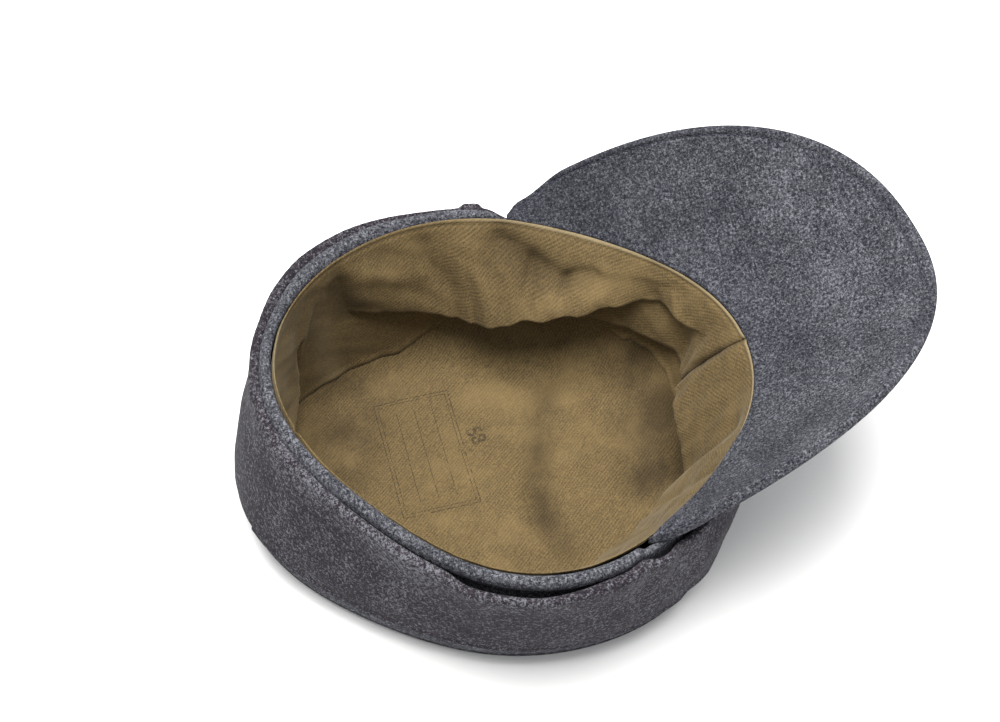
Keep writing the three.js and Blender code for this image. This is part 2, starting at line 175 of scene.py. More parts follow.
print("rim to the front and back:", rim_radius(np.array([0, 180])).round(1), "mm")


# %% [markdown]
# ## From a grid of points to a piece of cloth
#
# Cloth has two faces and a border. We could model one face and add a Solidify modifier, but the
# formulas give both faces directly, so the thickness can swell in a hem and thin out at an edge.
# `cloth` joins an inner and an outer grid into one closed skin and writes it into a mesh with
# `foreach_set`, which takes whole arrays and is much faster than a loop over corners.

# %% Cloth from two grids
def quads_between(first, second):
    """Quads that join two rows of corner numbers."""
    return np.stack([first[:-1], first[1:], second[1:], second[:-1]], axis=-1).reshape(-1, 4)


def grid_quads(index):
    """Quads of a grid of corner numbers."""
    corners = [index[:-1, :-1], index[:-1, 1:], index[1:, 1:], index[1:, :-1]]
    return np.stack(corners, axis=-1).reshape(-1, 4)


def put_object(name, data):
    """A new object that holds this mesh, light or camera, linked to the scene."""
    made = bpy.data.objects.new(name, data)
    bpy.context.collection.objects.link(made)
    return made


def put_mesh(name, points, faces, uv=None, marks=None):
    """A mesh from points in millimetres and faces of four corners, or three and a -1."""
    flat = points.reshape(-1, 3)
    loops = faces[faces >= 0]
    used, loops = np.unique(loops, return_inverse=True)
    loops = loops.ravel()
    sizes = (faces >= 0).sum(axis=1)
    mesh = bpy.data.meshes.new(name)
    mesh.vertices.add(len(used))
    mesh.vertices.foreach_set("co", (flat[used] * MM).astype(np.float32).ravel())
    mesh.loops.add(len(loops))
    mesh.loops.foreach_set("vertex_index", loops.astype(np.int32))
    mesh.polygons.add(len(faces))
    starts = np.concatenate([[0], np.cumsum(sizes)[:-1]])
    mesh.polygons.foreach_set("loop_start", starts.astype(np.int32))
    mesh.update(calc_edges=True)
    if uv is not None:
        layer = mesh.uv_layers.new(name="cloth")
        layer.data.foreach_set("uv", uv.reshape(-1, 2)[used][loops].astype(np.float32).ravel())
    for mark, values in (marks or {}).items():
        attribute = mesh.attributes.new(mark, "FLOAT", "POINT")
        attribute.data.foreach_set("value", values.reshape(-1)[used].astype(np.float32))
    mesh.polygons.foreach_set("use_smooth", np.ones(len(faces), dtype=bool))
    mesh.validate()
    return put_object(name, mesh)


def signed_volume(points, faces):
    """The sum of the corners' triple products over six: below zero if the faces point in."""
    a, b, c, d = (points[faces[:, corner]] for corner in range(4))
    return ((a * np.cross(b, c)).sum() + (a * np.cross(c, d)).sum()) / 6


def cloth(name, inner, outer, ring=False, pole=False, uv=None, marks=None):
    """A closed skin from two grids; columns may close into a ring, row 0 may be one point."""
    rows, columns = inner.shape[:2]
    index = np.arange(rows * columns).reshape(rows, columns)
    if pole:
        index[0] = index[0, 0]
    if ring:
        index = np.hstack([index, index[:, :1]])
    near, far = index, index + rows * columns
    parts = [grid_quads(near), grid_quads(far[:, ::-1]), quads_between(near[-1], far[-1])]
    if not pole:
        parts.append(quads_between(near[0, ::-1], far[0, ::-1]))
    if not ring:
        parts.append(quads_between(near[:, 0], far[:, 0]))
        parts.append(quads_between(near[::-1, -1], far[::-1, -1]))
    faces = np.concatenate(parts)
    points = np.concatenate([outer.reshape(-1, 3), inner.reshape(-1, 3)])
    volume = signed_volume(points, faces)
    faces[faces[:, 0] == faces[:, 1], 0] = -1
    if volume < 0:
        faces = faces[:, ::-1]
    twice = {mark: np.concatenate([values, values]) for mark, values in (marks or {}).items()}
    both = None if uv is None else np.concatenate([uv, uv])
    piece = put_mesh(name, points, faces, both, twice)
    print(name, len(faces), "faces,", round(abs(volume) / 1000, 1), "cm3")
    return piece


def dress(piece, material, slot, *nodes):
    """Gives a piece its material and its place on the body, and hides the CAD nodes it stands for.
    """
    piece.data.materials.append(material)
    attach(piece, "root")
    if nodes:
        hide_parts(*nodes)
    return piece


# %% [markdown]
# ## Rumples and folds
#
# No worn cap is smooth. Broad unevenness is a sum of plane waves with random headings, from a
# fixed seed so that each run gives the same cap. A fold that can be seen in a certain place is a
# row of a table: a line on the cloth, a width and a depth. Simulation could make such folds too,
# but not these ones, in these places.

# %% Rumples and folds
def eased_column(table, number, angle):
    """A column of the table at each angle, eased from row to row and zero outside it."""
    turn = turn_between(0, angle)
    angles = table[:, 0]
    after = np.clip(np.searchsorted(angles, turn), 1, len(angles) - 1)
    part = ease(turn, angles[after - 1], angles[after])
    value = mix(table[after - 1, number], table[after, number], part)
    return np.where((turn < angles[0]) | (turn > angles[-1]), 0, value)


def rumple(u, v, seed, shortest, longest, height, waves=12):
    """Sum of sines along random headings; a wave's height grows with its length."""
    random = np.random.default_rng(seed)
    lengths = np.geomspace(shortest, longest, waves)
    headings = random.uniform(0, np.pi, waves)
    phases = random.uniform(0, 2 * np.pi, waves)
    total = 0
    for length, heading, phase in zip(lengths, headings, phases):
        across = u * math.cos(heading) + v * math.sin(heading)
        total = total + length * np.sin(2 * np.pi * across / length + phase)
    return height * total / lengths.sum() * math.sqrt(waves)


def fold_push(folds, u, v):
    """Sum of folds: depth times exp of minus (distance to the fold's line over width) squared."""
    total = np.zeros(np.broadcast_shapes(np.shape(u), np.shape(v)))
    for u0, v0, u1, v1, width, depth in folds:
        run, rise = u1 - u0, v1 - v0
        along = np.clip(((u - u0) * run + (v - v0) * rise) / (run**2 + rise**2), 0, 1)
        distance = np.hypot(u - u0 - along * run, v - v0 - along * rise)
        total += depth * bell(distance, 0, width)
    return total


# %% [markdown]
# ## Shader maths as Python
#
# Node trees get long and hard to read. One small class wraps an output socket and overloads the
# operators, so that `1 - mask` or `ridge * 0.7 + grain` adds the Math nodes by itself. Colours
# go through a Mix node, because a Math node turns a colour grey.

# %% A value that varies over a surface
class Shade:
    """One output socket of a material's nodes, with Python's arithmetic."""

    def __init__(self, tree, socket=None):
        self.tree, self.socket = tree, socket

    def node(self, kind, inputs=None, output=0, **settings):
        """Adds a node: its settings first, then the value or link of each input socket."""
        made = self.tree.nodes.new("ShaderNode" + kind)
        for name, value in settings.items():
            setattr(made, name, value)
        for key, value in (inputs or {}).items():
            if isinstance(value, Shade):
                self.tree.links.new(value.socket, made.inputs[key])
            else:
                made.inputs[key].default_value = value
        return Shade(self.tree, made.outputs[output])

    def math(self, operation, first, second=0.0):
        return self.node("Math", {0: first, 1: second}, operation=operation)

    def __add__(self, other):
        return self.math("ADD", self, other)

    __radd__ = __add__

    def __sub__(self, other):
        return self.math("SUBTRACT", self, other)

    def __rsub__(self, other):
        return self.math("SUBTRACT", other, self)

    def __mul__(self, other):
        return self.math("MULTIPLY", self, other)

    __rmul__ = __mul__

    def sine(self):
        return self.math("SINE", self)

    def steps(self):
        """The whole number below."""
        return self.math("FLOOR", self)

    def band(self, low, high):
        """0 below low, 1 above high, eased between them. Low above high turns it round."""
        return self.node(
            "MapRange",
            {"Value": self, "From Min": low, "From Max": high},
            interpolation_type="SMOOTHSTEP",
        )

    def stretched(self, x, y, z):
        """The same place with each axis multiplied."""
        return self.node("VectorMath", {0: self, 1: (x, y, z)}, operation="MULTIPLY")

    def turned(self, x, y, z):
        """The same place turned about the three axes, in degrees."""
        turn = tuple(math.radians(value) for value in (x, y, z))
        return self.node("Mapping", {"Vector": self, "Rotation": turn})

    def axis(self, number):
        """X, Y or Z of a place."""
        return self.node("SeparateXYZ", {0: self}, output=number)

    def mark(self, name):
        """A value that the mesh carries at its corners under this name."""
        return self.node("Attribute", output="Fac", attribute_name=name)

    def bump(self, strength, distance):
        """The normal tilted as if this value were a height; distance is in metres."""
        return self.node("Bump", {"Strength": strength, "Distance": distance, "Height": self})

    def noise(self, scale, detail=2.0, roughness=0.5):
        """Cloudy noise from 0 to 1 at this place; scale is how many clouds to a unit."""
        inputs = {"Vector": self, "Scale": scale, "Detail": detail, "Roughness": roughness}
        return self.node("TexNoise", inputs)


def blend(factor, first, second, mode="MIX"):
    """Mixes two colours by a factor that varies."""
    inputs = {0: factor, 6: first, 7: second}
    return factor.node("Mix", inputs, output=2, data_type="RGBA", blend_type=mode)


def new_material(name):
    """A material with its Principled shader, and a wrapper for its nodes."""
    material = bpy.data.materials.new(name)
    material.use_nodes = True
    return material, Shade(material.node_tree)


def finish_material(material, start, varying, steady):
    """Links what varies to the shader and sets what is the same all over."""
    shader = material.node_tree.nodes["Principled BSDF"]
    for name, value in varying.items():
        start.tree.links.new(value.socket, shader.inputs[name])
    for name, value in steady.items():
        shader.inputs[name].default_value = value
    print("material", material.name, "has", len(material.node_tree.nodes), "nodes")
    return material


def millimetres(start):
    """The place on the object, in millimetres."""
    return start.node("TexCoord", output="Object").stretched(1 / MM, 1 / MM, 1 / MM)


# %% [markdown]
# ## Felted wool
#
# The cap's cloth is spun from dark, blue-grey and almost white fibres and then felted, so it
# shows flecks of one to two millimetres rather than a weave. We could paint flecks with one
# noise, but real melange has several sizes at once: broad clouds, flecks, and short hairs lying
# every way. Hairs come from noise stretched along two different directions. Sheen gives the soft
# light edge that short fibres have. The same wool comes in copies: the flap's is darker and
# redder as painted shade, the hem's paler as painted light. A mesh can carry two marks: one
# darkens the wool as painted shade, the other brings up more of its pale flecks.

# %% Wool material
def wool_material(name, tint, bright, sheen, fleck):
    """Flecks between navy and pale grey; bright lifts all of them, set per copy as painted light
    and shade, and fleck is their fineness.
    """
    material, start = new_material(name)
    place = millimetres(start)
    clouds = place.noise(0.05, 3.0, 0.55)
    flecks = place.noise(fleck, 2.0, 0.75)
    fine = place.noise(1.9, 1.0, 0.6)
    hair_one = place.turned(20, 35, 10).stretched(2.2, 0.45, 1.6).noise(0.9, 2.0, 0.7)
    hair_two = place.turned(-40, 15, 80).stretched(2.2, 0.45, 1.6).noise(0.9, 2.0, 0.7)
    paler_top = start.mark("paler_top")
    melange = flecks * 0.34 + fine * 0.20 + hair_one * 0.18 + hair_two * 0.18 + clouds * 0.10
    melange = melange + paler_top * 0.040
    navy = (0.011 * bright, 0.0105 * bright, 0.018 * bright, 1)
    middle = (tint[0] * bright, tint[1] * bright, tint[2] * bright, 1)
    pale = (0.205 * bright, 0.21 * bright, 0.235 * bright, 1)
    colour = blend(melange.band(0.43, 0.51), navy, middle)
    colour = blend(melange.band(0.50, 0.60) * 0.9, colour, pale)
    specks = place.noise(0.5, 0.0, 0.5).band(0.70, 0.80) * fine.band(0.45, 0.6)
    colour = blend(specks * 0.45, colour, pale)
    # Painted shade: this mark blends the wool toward navy.
    painted_peak_shade = start.mark("painted_peak_shade")
    colour = blend(painted_peak_shade * 0.6, colour, navy)
    height = flecks * 0.5 + fine * 0.3 + hair_one * 0.35 + hair_two * 0.35
    normal = height.bump(0.55, 0.0005)
    return finish_material(
        material, start,
        {"Base Color": colour, "Normal": normal, "Roughness": clouds * 0.1 + 0.88},
        {"Specular IOR Level": 0.18, "Sheen Weight": sheen, "Sheen Roughness": 0.45,
         "Sheen Tint": (0.75, 0.78, 0.9, 1)},
    )


# Painted shade and light: the flap's and crown's copy is darker and redder, the hem's copy paler.
shaded_wool = wool_material("felted_wool", (0.033, 0.025, 0.031), 0.62, 0.02, 0.68)
lit_hem_wool = wool_material("lit_hem_wool", (0.058, 0.059, 0.067), 0.80, 0.04, 0.75)
peak_wool = wool_material("peak_wool", (0.055, 0.056, 0.066), 0.72, 0.06, 0.9)

# %% [markdown]
# ## Cotton twill
#
# Twill shows fine slanting ribs. On the lining's side the ribs follow the cloth, so they are
# worked out on the piece's own UV map, whose unit is a millimetre of cloth; the flat floor can
# use Object coordinates. A rib is a sine across the slant, broken up by its yarns. Dye that has
# faded unevenly and years of handling are two layers of broad noise.

# %% Twill material
RIB_PITCH = 1.3
RIB_SLANT = -26


def twill_material(name, place_of, slant):
    """Ribs along a slant: sine of 2 pi times the distance across them over their pitch."""
    material, start = new_material(name)
    cloth_place = place_of(start)
    solid_place = millimetres(start)
    across = (cloth_place.axis(0) * math.sin(math.radians(slant))
              - cloth_place.axis(1) * math.cos(math.radians(slant)))
    along = (cloth_place.axis(0) * math.cos(math.radians(slant))
             + cloth_place.axis(1) * math.sin(math.radians(slant)))
    sway = cloth_place.noise(0.12, 2.0) * 0.4
    rib_turns = across * (1 / RIB_PITCH) + sway
    ribs = (rib_turns * (2 * math.pi)).sine() * 0.5 + 0.5
    yarn_turns = along * (1 / (0.8 * RIB_PITCH)) + rib_turns.steps() * 0.37
    yarns = (yarn_turns * (2 * math.pi)).sine() * 0.5 + 0.5
    slubs = cloth_place.turned(0, 0, -slant).stretched(0.25, 2.0, 1).noise(0.8, 3.0, 0.6)
    faded = solid_place.noise(0.035, 3.0, 0.6)
    soiled = solid_place.noise(0.11, 4.0, 0.6)
    grain = solid_place.noise(1.4, 2.0, 0.6)
    weave = ribs * 0.13 + yarns * 0.07 + slubs * 0.40 + grain * 0.75
    groove = (0.047, 0.032, 0.0135, 1)
    yarn = (0.152, 0.104, 0.042, 1)
    colour = blend(weave.band(0.40, 0.98), groove, yarn)
    colour = blend(faded.band(0.45, 0.7) * 0.35, colour, (0.187, 0.130, 0.055, 1))
    colour = blend(soiled.band(0.55, 0.8) * 0.4, colour, (0.068, 0.047, 0.022, 1))
    # Painted shade in the folds' valleys and in the floor's hollows and shadows; the seams' dark
    # lines share this mark.
    painted_shade_and_seams = start.mark("painted_shade_and_seams")
    colour = blend(painted_shade_and_seams, colour, (0.42, 0.40, 0.37, 1), "MULTIPLY")
    # Painted light on the back wall and by the back seam; a paler line along the pressed edge
    # toward the front.
    edge = start.mark("edge")
    colour = blend(edge * 0.65, colour, (0.34, 0.28, 0.17, 1))
    height = ribs * 0.25 + yarns * 0.1 + slubs * 0.4 + grain * 0.25
    normal = height.bump(0.4, 0.00022)
    return finish_material(
        material, start,
        {"Base Color": colour, "Normal": normal, "Roughness": weave * 0.1 + 0.8},
        {"Specular IOR Level": 0.25, "Sheen Weight": 0.12, "Sheen Roughness": 0.4,
         "Sheen Tint": (1.0, 0.9, 0.7, 1)},
    )


def own_cloth(start):
    """The piece's UV map, whose unit is a millimetre of cloth."""
    return start.node("UVMap", uv_map="cloth")


side_twill = twill_material("side_twill", own_cloth, RIB_SLANT)
floor_twill = twill_material("floor_twill", millimetres, 128)


# %% Thread, ink and button materials
def thread_material(name, dark, light):
    """Twisted sewing thread: two tones in slanting bands."""
    material, start = new_material(name)
    place = millimetres(start)
    twist = place.turned(30, 20, 45).stretched(6, 1.5, 3).noise(1.0, 1.0)
    colour = blend(twist.band(0.35, 0.65), dark, light)
    normal = twist.bump(0.5, 0.0001)
    return finish_material(
        material, start, {"Base Color": colour, "Normal": normal}, {"Roughness": 0.7}
    )


brown_thread = thread_material("brown_thread", (0.05, 0.035, 0.017, 1), (0.12, 0.085, 0.04, 1))
navy_thread = thread_material("navy_thread", (0.006, 0.007, 0.014, 1), (0.03, 0.034, 0.055, 1))


def ink_material():
    """Worn stamping ink: it is missing wherever two noises say so."""
    material, start = new_material("faded_ink")
    place = millimetres(start)
    patchy = place.noise(0.28, 3.0, 0.7).band(0.34, 0.62)
    grainy = place.noise(1.6, 2.0, 0.6).band(0.36, 0.56)
    tone = blend(patchy, (0.030, 0.022, 0.013, 1), (0.055, 0.038, 0.021, 1))
    return finish_material(
        material, start, {"Base Color": tone, "Alpha": patchy * grainy * 0.75}, {"Roughness": 0.95}
    )


faded_ink = ink_material()


def button_material():
    """Pressed dark button compound with fine swirls and rubbed high spots."""
    material, start = new_material("button_compound")
    place = millimetres(start)
    swirl = place.turned(0, 40, 0).noise(0.35, 4.0, 0.65)
    rubbed = place.noise(1.2, 3.0, 0.6)
    colour = blend(swirl.band(0.4, 0.65), (0.020, 0.020, 0.022, 1), (0.055, 0.052, 0.05, 1))
    colour = blend(rubbed.band(0.6, 0.75) * 0.4, colour, (0.12, 0.115, 0.11, 1))
    normal = rubbed.bump(0.15, 0.0001)
    return finish_material(
        material, start,
        {"Base Color": colour, "Normal": normal, "Roughness": rubbed * 0.3 + 0.35}, {},
    )


button_compound = button_material()

# %% [markdown]
# ## The lining's floor
#
# The lining has a flat oval that lies on the inside of the crown, and a side that is sewn round
# it. The floor is softly rippled: each row of the table is a wave with a heading, and the folds
# that show in the middle are lines on the floor. At its border it curls up inside the crown's
# rounded edge, which a quarter circle describes.

# %% Height of the floor
RIPPLES = [  # heading, crests across the cap, phase, height as a share of the crown's rounding
    (20, 2.2, 0.10, 0.14),
    (75, 1.6, 0.60, 0.10),
]
FLOOR_FOLDS = [  # from x, y to x, y, width, depth
    (40, -24, 12, -13, 7.0, -1.4),
    (12, -13, -12, -4.5, 6.0, -1.9),
    (-12, -4.5, -24, -3, 6.0, -1.9),
    (-24, -3, -44, -7, 7.0, -1.6),
    (30, -34, -25, -24, 9.0, 1.0),
    (24, 4, -25, 9, 7.0, 0.8),
    (-30, 12, -48, 14, 5.0, -1.0),
    (50, 49, 15, 72, 7.0, -1.3),
    (62, 60, 35, 80, 5.0, 0.8),
    (8, -50, -22, -47, 7.0, -0.9),
]
CURL = CROWN_EDGE_ROUND - WOOL - GAP - TWILL
DARK_DEPTH = 6  # a fold this deep has 1 as its crease mark, before the mark is clipped
FLOOR_LIFT, FLOOR_SINK = 0.7, -1.4  # keep the floor's deepest folds clear of the crown
# Painted shadows on the floor: in the hollow under the front curtain, toward the back wall and
# along the middle fold.
FLOOR_SHADOWS = [  # from x, y to x, y, width, strength
    (64, 62, 34, 76, 20.0, 0.6),
    (34, 44, 14, 40, 22.0, 0.12),
    (44, -28, -2, -8, 7.0, 0.28),
    (-2, -8, -16, -4.5, 6.0, 0.36),
    (-16, -4.5, -38, -6, 7.0, 0.26),
    (34, -68, 10, -69, 13.0, 0.88),
    (10, -69, -2, -65, 14.0, 0.92),
    (-2, -65, -17, -56, 13.0, 0.85),
]
SWEEPS = np.array([  # angle, how much wider the curl is there
    (-14, 0), (4, 15), (14, 27), (50, 27), (64, 18), (94, 14), (113, 0),
])


def flat_reach(angle):
    """Where the flat of the crown ends and its border starts to curl up."""
    return foot_radius(angle) - CROWN_EDGE_ROUND


def curl_size(angle):
    """The floor's border sweeps up higher under the swag, so no seam shows there."""
    return CURL + eased_column(SWEEPS, 1, angle)


def floor_height(x, y):
    """Cloth thickness, plus each ripple's raised cosine, plus folds and rumples."""
    height = WOOL + GAP + TWILL
    for heading, crests, phase, share_of_round in RIPPLES:
        turn = math.radians(heading)
        across = (x * math.cos(turn) + y * math.sin(turn)) / (2 * CROWN_MEAN)
        wave = 0.5 + 0.5 * np.cos(2 * np.pi * (across * crests + phase))
        height = height + share_of_round * CROWN_EDGE_ROUND * wave
    folds = np.maximum(fold_push(FLOOR_FOLDS, x, y), FLOOR_SINK)
    return height + FLOOR_LIFT + folds + rumple(x, y, 5, 9, 45, 0.28)


def curl_span(angle):
    """Where the curl starts, and how far out it runs to meet the side."""
    start = flat_reach(angle) + CURL - curl_size(angle)
    end = side_radius(angle, WOOL + GAP + TWILL + curl_size(angle)) - WOOL - GAP - TWILL / 3
    return start, end - start


def curled_height(angle, radius):
    """Floor height, with a quarter of an oval added past the flat."""
    place = point_at(angle, radius, 0)
    size = curl_size(angle)
    start, run = curl_span(angle)
    sine = np.clip((radius - start) / run, 0, 0.995)
    return floor_height(place[..., 0], place[..., 1]) + size * (1 - np.sqrt(1 - sine**2))


# %% Floor piece
column = ring_angles(300)
row = np.concatenate([np.linspace(0, 1, 84), 1 + np.linspace(0.06, 0.99, 16)])[:, None]
start, run = curl_span(column)
reach = start * np.minimum(row, 1) + run * np.maximum(row - 1, 0)
upper = point_at(column, reach, curled_height(column, reach))
lower = upper - [0, 0, TWILL]
x, y = upper[..., 0], upper[..., 1]
# Painted shade on the floor: the folds' valleys and the painted shadows above go into one mark.
painted_shadow = np.max([fold_push([one_shadow], x, y) for one_shadow in FLOOR_SHADOWS], axis=0)
painted_shadow = painted_shadow * (1 + rumple(x, y, 6, 6, 30, 0.3))
marks = {"painted_shade_and_seams": np.clip(-fold_push(FLOOR_FOLDS, x, y) / DARK_DEPTH + painted_shadow, 0, 1)}
floor_piece = cloth("lining_floor", lower, upper, ring=True, pole=True, marks=marks)
dress(floor_piece, floor_twill, "lining_twill", "lining_top")

# %% [markdown]
# ## The lining's side
#
# This is what the eye rests on: loose twill that hangs from the rim, swags toward the middle
# along the far side and bulges in front. Every fold is a push toward the middle, worked out from
# the direction and the height. Sags are broad humps. A swag grows from the rim down to its lip
# and falls away under it, so the light leaves a deep shadow there. A cloth simulation would need
# the real cutting pattern, so formulas and a table of folds are the surer way to these forms.

# %% Swag, curtains and sags
SWAG = np.array([  # angle, height of the lip, push, as shares of the rim's height
    (2, 0.86, 0), (5, 0.80, 0.025), (8, 0.76, 0.06), (12, 0.76, 0.085), (18, 0.77, 0.095),
    (23, 0.77, 0.08), (28, 0.75, 0.10), (36, 0.70, 0.20), (48, 0.64, 0.29),
    (66, 0.57, 0.35), (80, 0.50, 0.365), (86, 0.485, 0.36), (91, 0.45, 0.29),
    (96, 0.445, 0.215), (102, 0.47, 0.19), (110, 0.50, 0.165), (117, 0.53, 0.145),
    (121.5, 0.56, 0.13), (125, 0.64, 0),
])
FRONT_CURTAIN = np.array([  # the panel under the swag, the front bulge and the near side
    (-150, 0.30, 0), (-118, 0.32, 0.16), (-98, 0.33, 0.27), (-83, 0.32, 0.315),
    (-70, 0.29, 0.365), (-60, 0.27, 0.345), (-52, 0.26, 0.37), (-44, 0.26, 0.325),
    (-36, 0.26, 0.31), (-31, 0.27, 0.235), (-26, 0.30, 0.21), (-20, 0.36, 0.225),
    (-14, 0.41, 0.25), (-4, 0.43, 0.245), (3, 0.43, 0.195), (8, 0.45, 0.115), (12, 0.48, 0.07),
    (15, 0.52, 0.085), (21, 0.50, 0.10), (30, 0.48, 0.10), (40, 0.46, 0.10), (50, 0.44, 0.07),
    (66, 0.4, 0),
])
BACK_CURTAIN = np.array([  # the back panel's slanting edge: height, angle, push in millimetres
    (0, 155, 14.5), (14, 151.5, 14), (25, 144, 8.8), (38, 140.4, 5.4), (50, 137.6, 3.6),
    (66, 133.2, 0.8), (76, 131, 0),
])


def lip_push(table, undercut, foot, angle, height):
    """Grows from the rim down to the lip, a little rounded, then eases to its foot under it."""
    lip = eased_column(table, 1, angle) * RIM_HEIGHT
    push = eased_column(table, 2, angle) * RIM_HEIGHT
    climb = share(height, lip, rim_height(angle))
    above = (1 - climb) * (1 + 0.35 * climb)
    below = mix(foot, 1, ease(height, lip - undercut * RIM_HEIGHT, lip))
    return push * np.where(height > lip, above, below)


def back_push(angle, height):
    """A step at the slanting edge, held round the back and fading out on the near side."""
    turn = angle % 360
    edge = np.interp(height, BACK_CURTAIN[:, 0], BACK_CURTAIN[:, 1])
    push = np.interp(height, BACK_CURTAIN[:, 0], BACK_CURTAIN[:, 2])
    return push * plateau(turn, edge - 2.6, edge + 0.6, 176, 232)


def larger(first, second, blend_over=2.0):
    """The larger of two pushes, with the change from one to the other rounded off."""
    return 0.5 * (first + second + np.sqrt((first - second) ** 2 + blend_over**2)) - blend_over / 2


# %% Folds of the side, and its inner face
SIDE_FOLDS = [  # from degrees, height to degrees, height, width, push toward the middle
    (77, 67, 69, 60, 8.0, -4.2),
    (67, 60, 56, 57, 5.0, -3.2),
    (56, 57, 46, 60, 4.0, -2.0),
    (60, 50, 40, 55, 5.0, 1.8),
    (46, 66, 24, 68, 3.0, 1.0),
    (125, 60, 123, 46, 5.0, -4.4),
    (122, 42, 104, 32, 4.5, -2.6),
    (118, 62, 104, 54, 6.0, 1.4),
    (101, 68, 96, 46, 5.0, -1.3),
    (90, 66, 86, 44, 5.0, 1.0),
    (84, 62, 79, 46, 4.5, -1.2),
    (141, 48, 142, 24, 1.8, -2.4),
    (146, 60, 150, 30, 4.0, 0.8),
    (160, 64, 166, 30, 4.0, -1.0),
    (-8, 62, -15, 36, 6.0, 0.8),
    (-27, 60, -30, 26, 4.5, -1.6),
    (-36, 64, -40, 28, 7.0, 1.2),
    (-46, 66, -49, 32, 4.5, -1.6),
    (-56, 64, -60, 28, 7.0, 1.2),
    (-66, 66, -69, 34, 4.5, -1.4),
    (-80, 66, -84, 34, 6.0, -1.0),
    (66, 44, 44, 48, 6.0, 1.2),
    (20, 63, 12, 56, 2.6, 1.5),
    (26, 58, 18, 48, 3.0, -1.2),
    (-1.0, 59, 5.5, 34, 2.4, -1.7),
]
SIDE_ROWS = [(a * DEGREE, b, c * DEGREE, d, width, push) for a, b, c, d, width, push in SIDE_FOLDS]
SWAG_UNDERCUT, SWAG_FOOT = 0.08, 0.0
CURTAIN_UNDERCUT, CURTAIN_FOOT = 0.12, 0.06


def side_push(angle, height):
    """The fullest of swag and curtains, with folds and rumples that fade out at the rim."""
    turn = turn_between(0, angle)
    held = share(rim_height(angle) - height, 0.5, 9)
    u, v = turn * DEGREE, height
    warped_u = u + rumple(u, v, 21, 14, 40, 1.2)
    warped_v = v + rumple(u, v, 22, 14, 40, 1.2)
    small = fold_push(SIDE_ROWS, warped_u, warped_v) + rumple(u, v, 23, 7, 45, 0.5)
    swag = lip_push(SWAG, SWAG_UNDERCUT, SWAG_FOOT, angle, height)
    foot = CURTAIN_FOOT * (1 - ease(turn, -4, 6))
    curtain = lip_push(FRONT_CURTAIN, CURTAIN_UNDERCUT, foot, angle, height)
    full = larger(larger(swag, curtain), back_push(angle, height)) + 0.6
    return np.maximum(full + small * held, 0)


EDGE_THIN = 0.35  # share of the cloth's thickness left at the pressed edge
EDGE_DROP = 0.9  # top of the lining below the rim
EDGE_HIDDEN = 1.7  # how much lower it lies at the near side
STITCH_DEPTH = 1.7  # the row of stitches below the lining's edge
ROLL_AT, ROLL_WIDTH = 2.2, 1.6  # the small roll above the seam at the foot
SEAM_GAP, SEAM_TUCK = 0.12, 0.9  # at each panel's edge, and how far it turns to the wool


def edge_height(angle):
    """Top of the lining: the near side's edge lies lower, behind the hem."""
    near_side = EDGE_HIDDEN * plateau(angle % 360, 178, 200, 268, 288)
    return rim_height(angle) - EDGE_DROP - near_side


def side_painted_shade(angle, height):
    """1 in the valleys of the folds, where painted shade draws the cloth a little darker."""
    valleys = -fold_push(SIDE_ROWS, turn_between(0, angle) * DEGREE, height)
    return np.clip(valleys / DARK_DEPTH, 0, 0.7)


def paler_edge_and_painted_light(angle, height):
    """Paler cloth along the pressed edge toward the front; the strip by the back seam and the
    patch on the back wall are painted light.
    """
    turn = turn_between(0, angle)
    in_front = plateau(turn, -80, -50, 60, 110)
    line = share(edge_height(angle) - height, 1.1, 0.5) * in_front
    strip = 0.42 * hump(angle, 157, 19) * share(height, 4, 20)
    patch = 0.22 * hump(angle, 131, 6) * (1 - share(height, 34, 56))
    return np.clip(0.6 * line + strip + patch, 0, 1)


def tucked(angle, height, foot):
    """The seam at the foot: a small roll above it, with puckers where the stitches pull."""
    roll = bell(height - foot, ROLL_AT, ROLL_WIDTH)
    pull = np.exp(-(height - foot) / 5)
    wander = np.sin(np.radians(angle) * 7 + 1) * 2.5
    pucker = np.sin(np.radians(angle) * 46 + wander) * np.sin(np.radians(angle) * 11 + 2)
    return 0.8 * roll + 0.55 * pucker * pull


def left_of_cloth(angle, height):
    """The edge at the rim is pressed thin."""
    depth = edge_height(angle) - height
    return TWILL * mix(EDGE_THIN, 1, share(depth, 0, 3.5))


def edge_profile(depth):
    """A small roll along the edge, and the shallow ditch of the stitches under it."""
    return 0.22 * bell(depth, 0.5, 0.5) - 0.35 * bell(depth, STITCH_DEPTH, 0.5)


def lining_face(angle, height, foot):
    """Inner face of the lining's side, as a distance from the Z axis."""
    wall = side_radius(angle, height) - WOOL - GAP - left_of_cloth(angle, height)
    depth = edge_height(angle) - height
    push = side_push(angle, height) + tucked(angle, height, foot)
    return wall - push - edge_profile(depth)


# %% The two panels of the side
def seam_angle(height):
    """The front seam leans: its direction runs with the height."""
    return mix(7.6, -5.0, share(height, 26, 74))


def foot_level(angle):
    """Height where the side meets the floor's curl, closed in on by trying the last height."""
    level = CROWN_EDGE_ROUND + 0 * angle
    for _ in range(12):
        radius = side_radius(angle, level) - WOOL - GAP - TWILL
        level = curled_height(angle, radius - side_push(angle, level))
    return level - 0.1


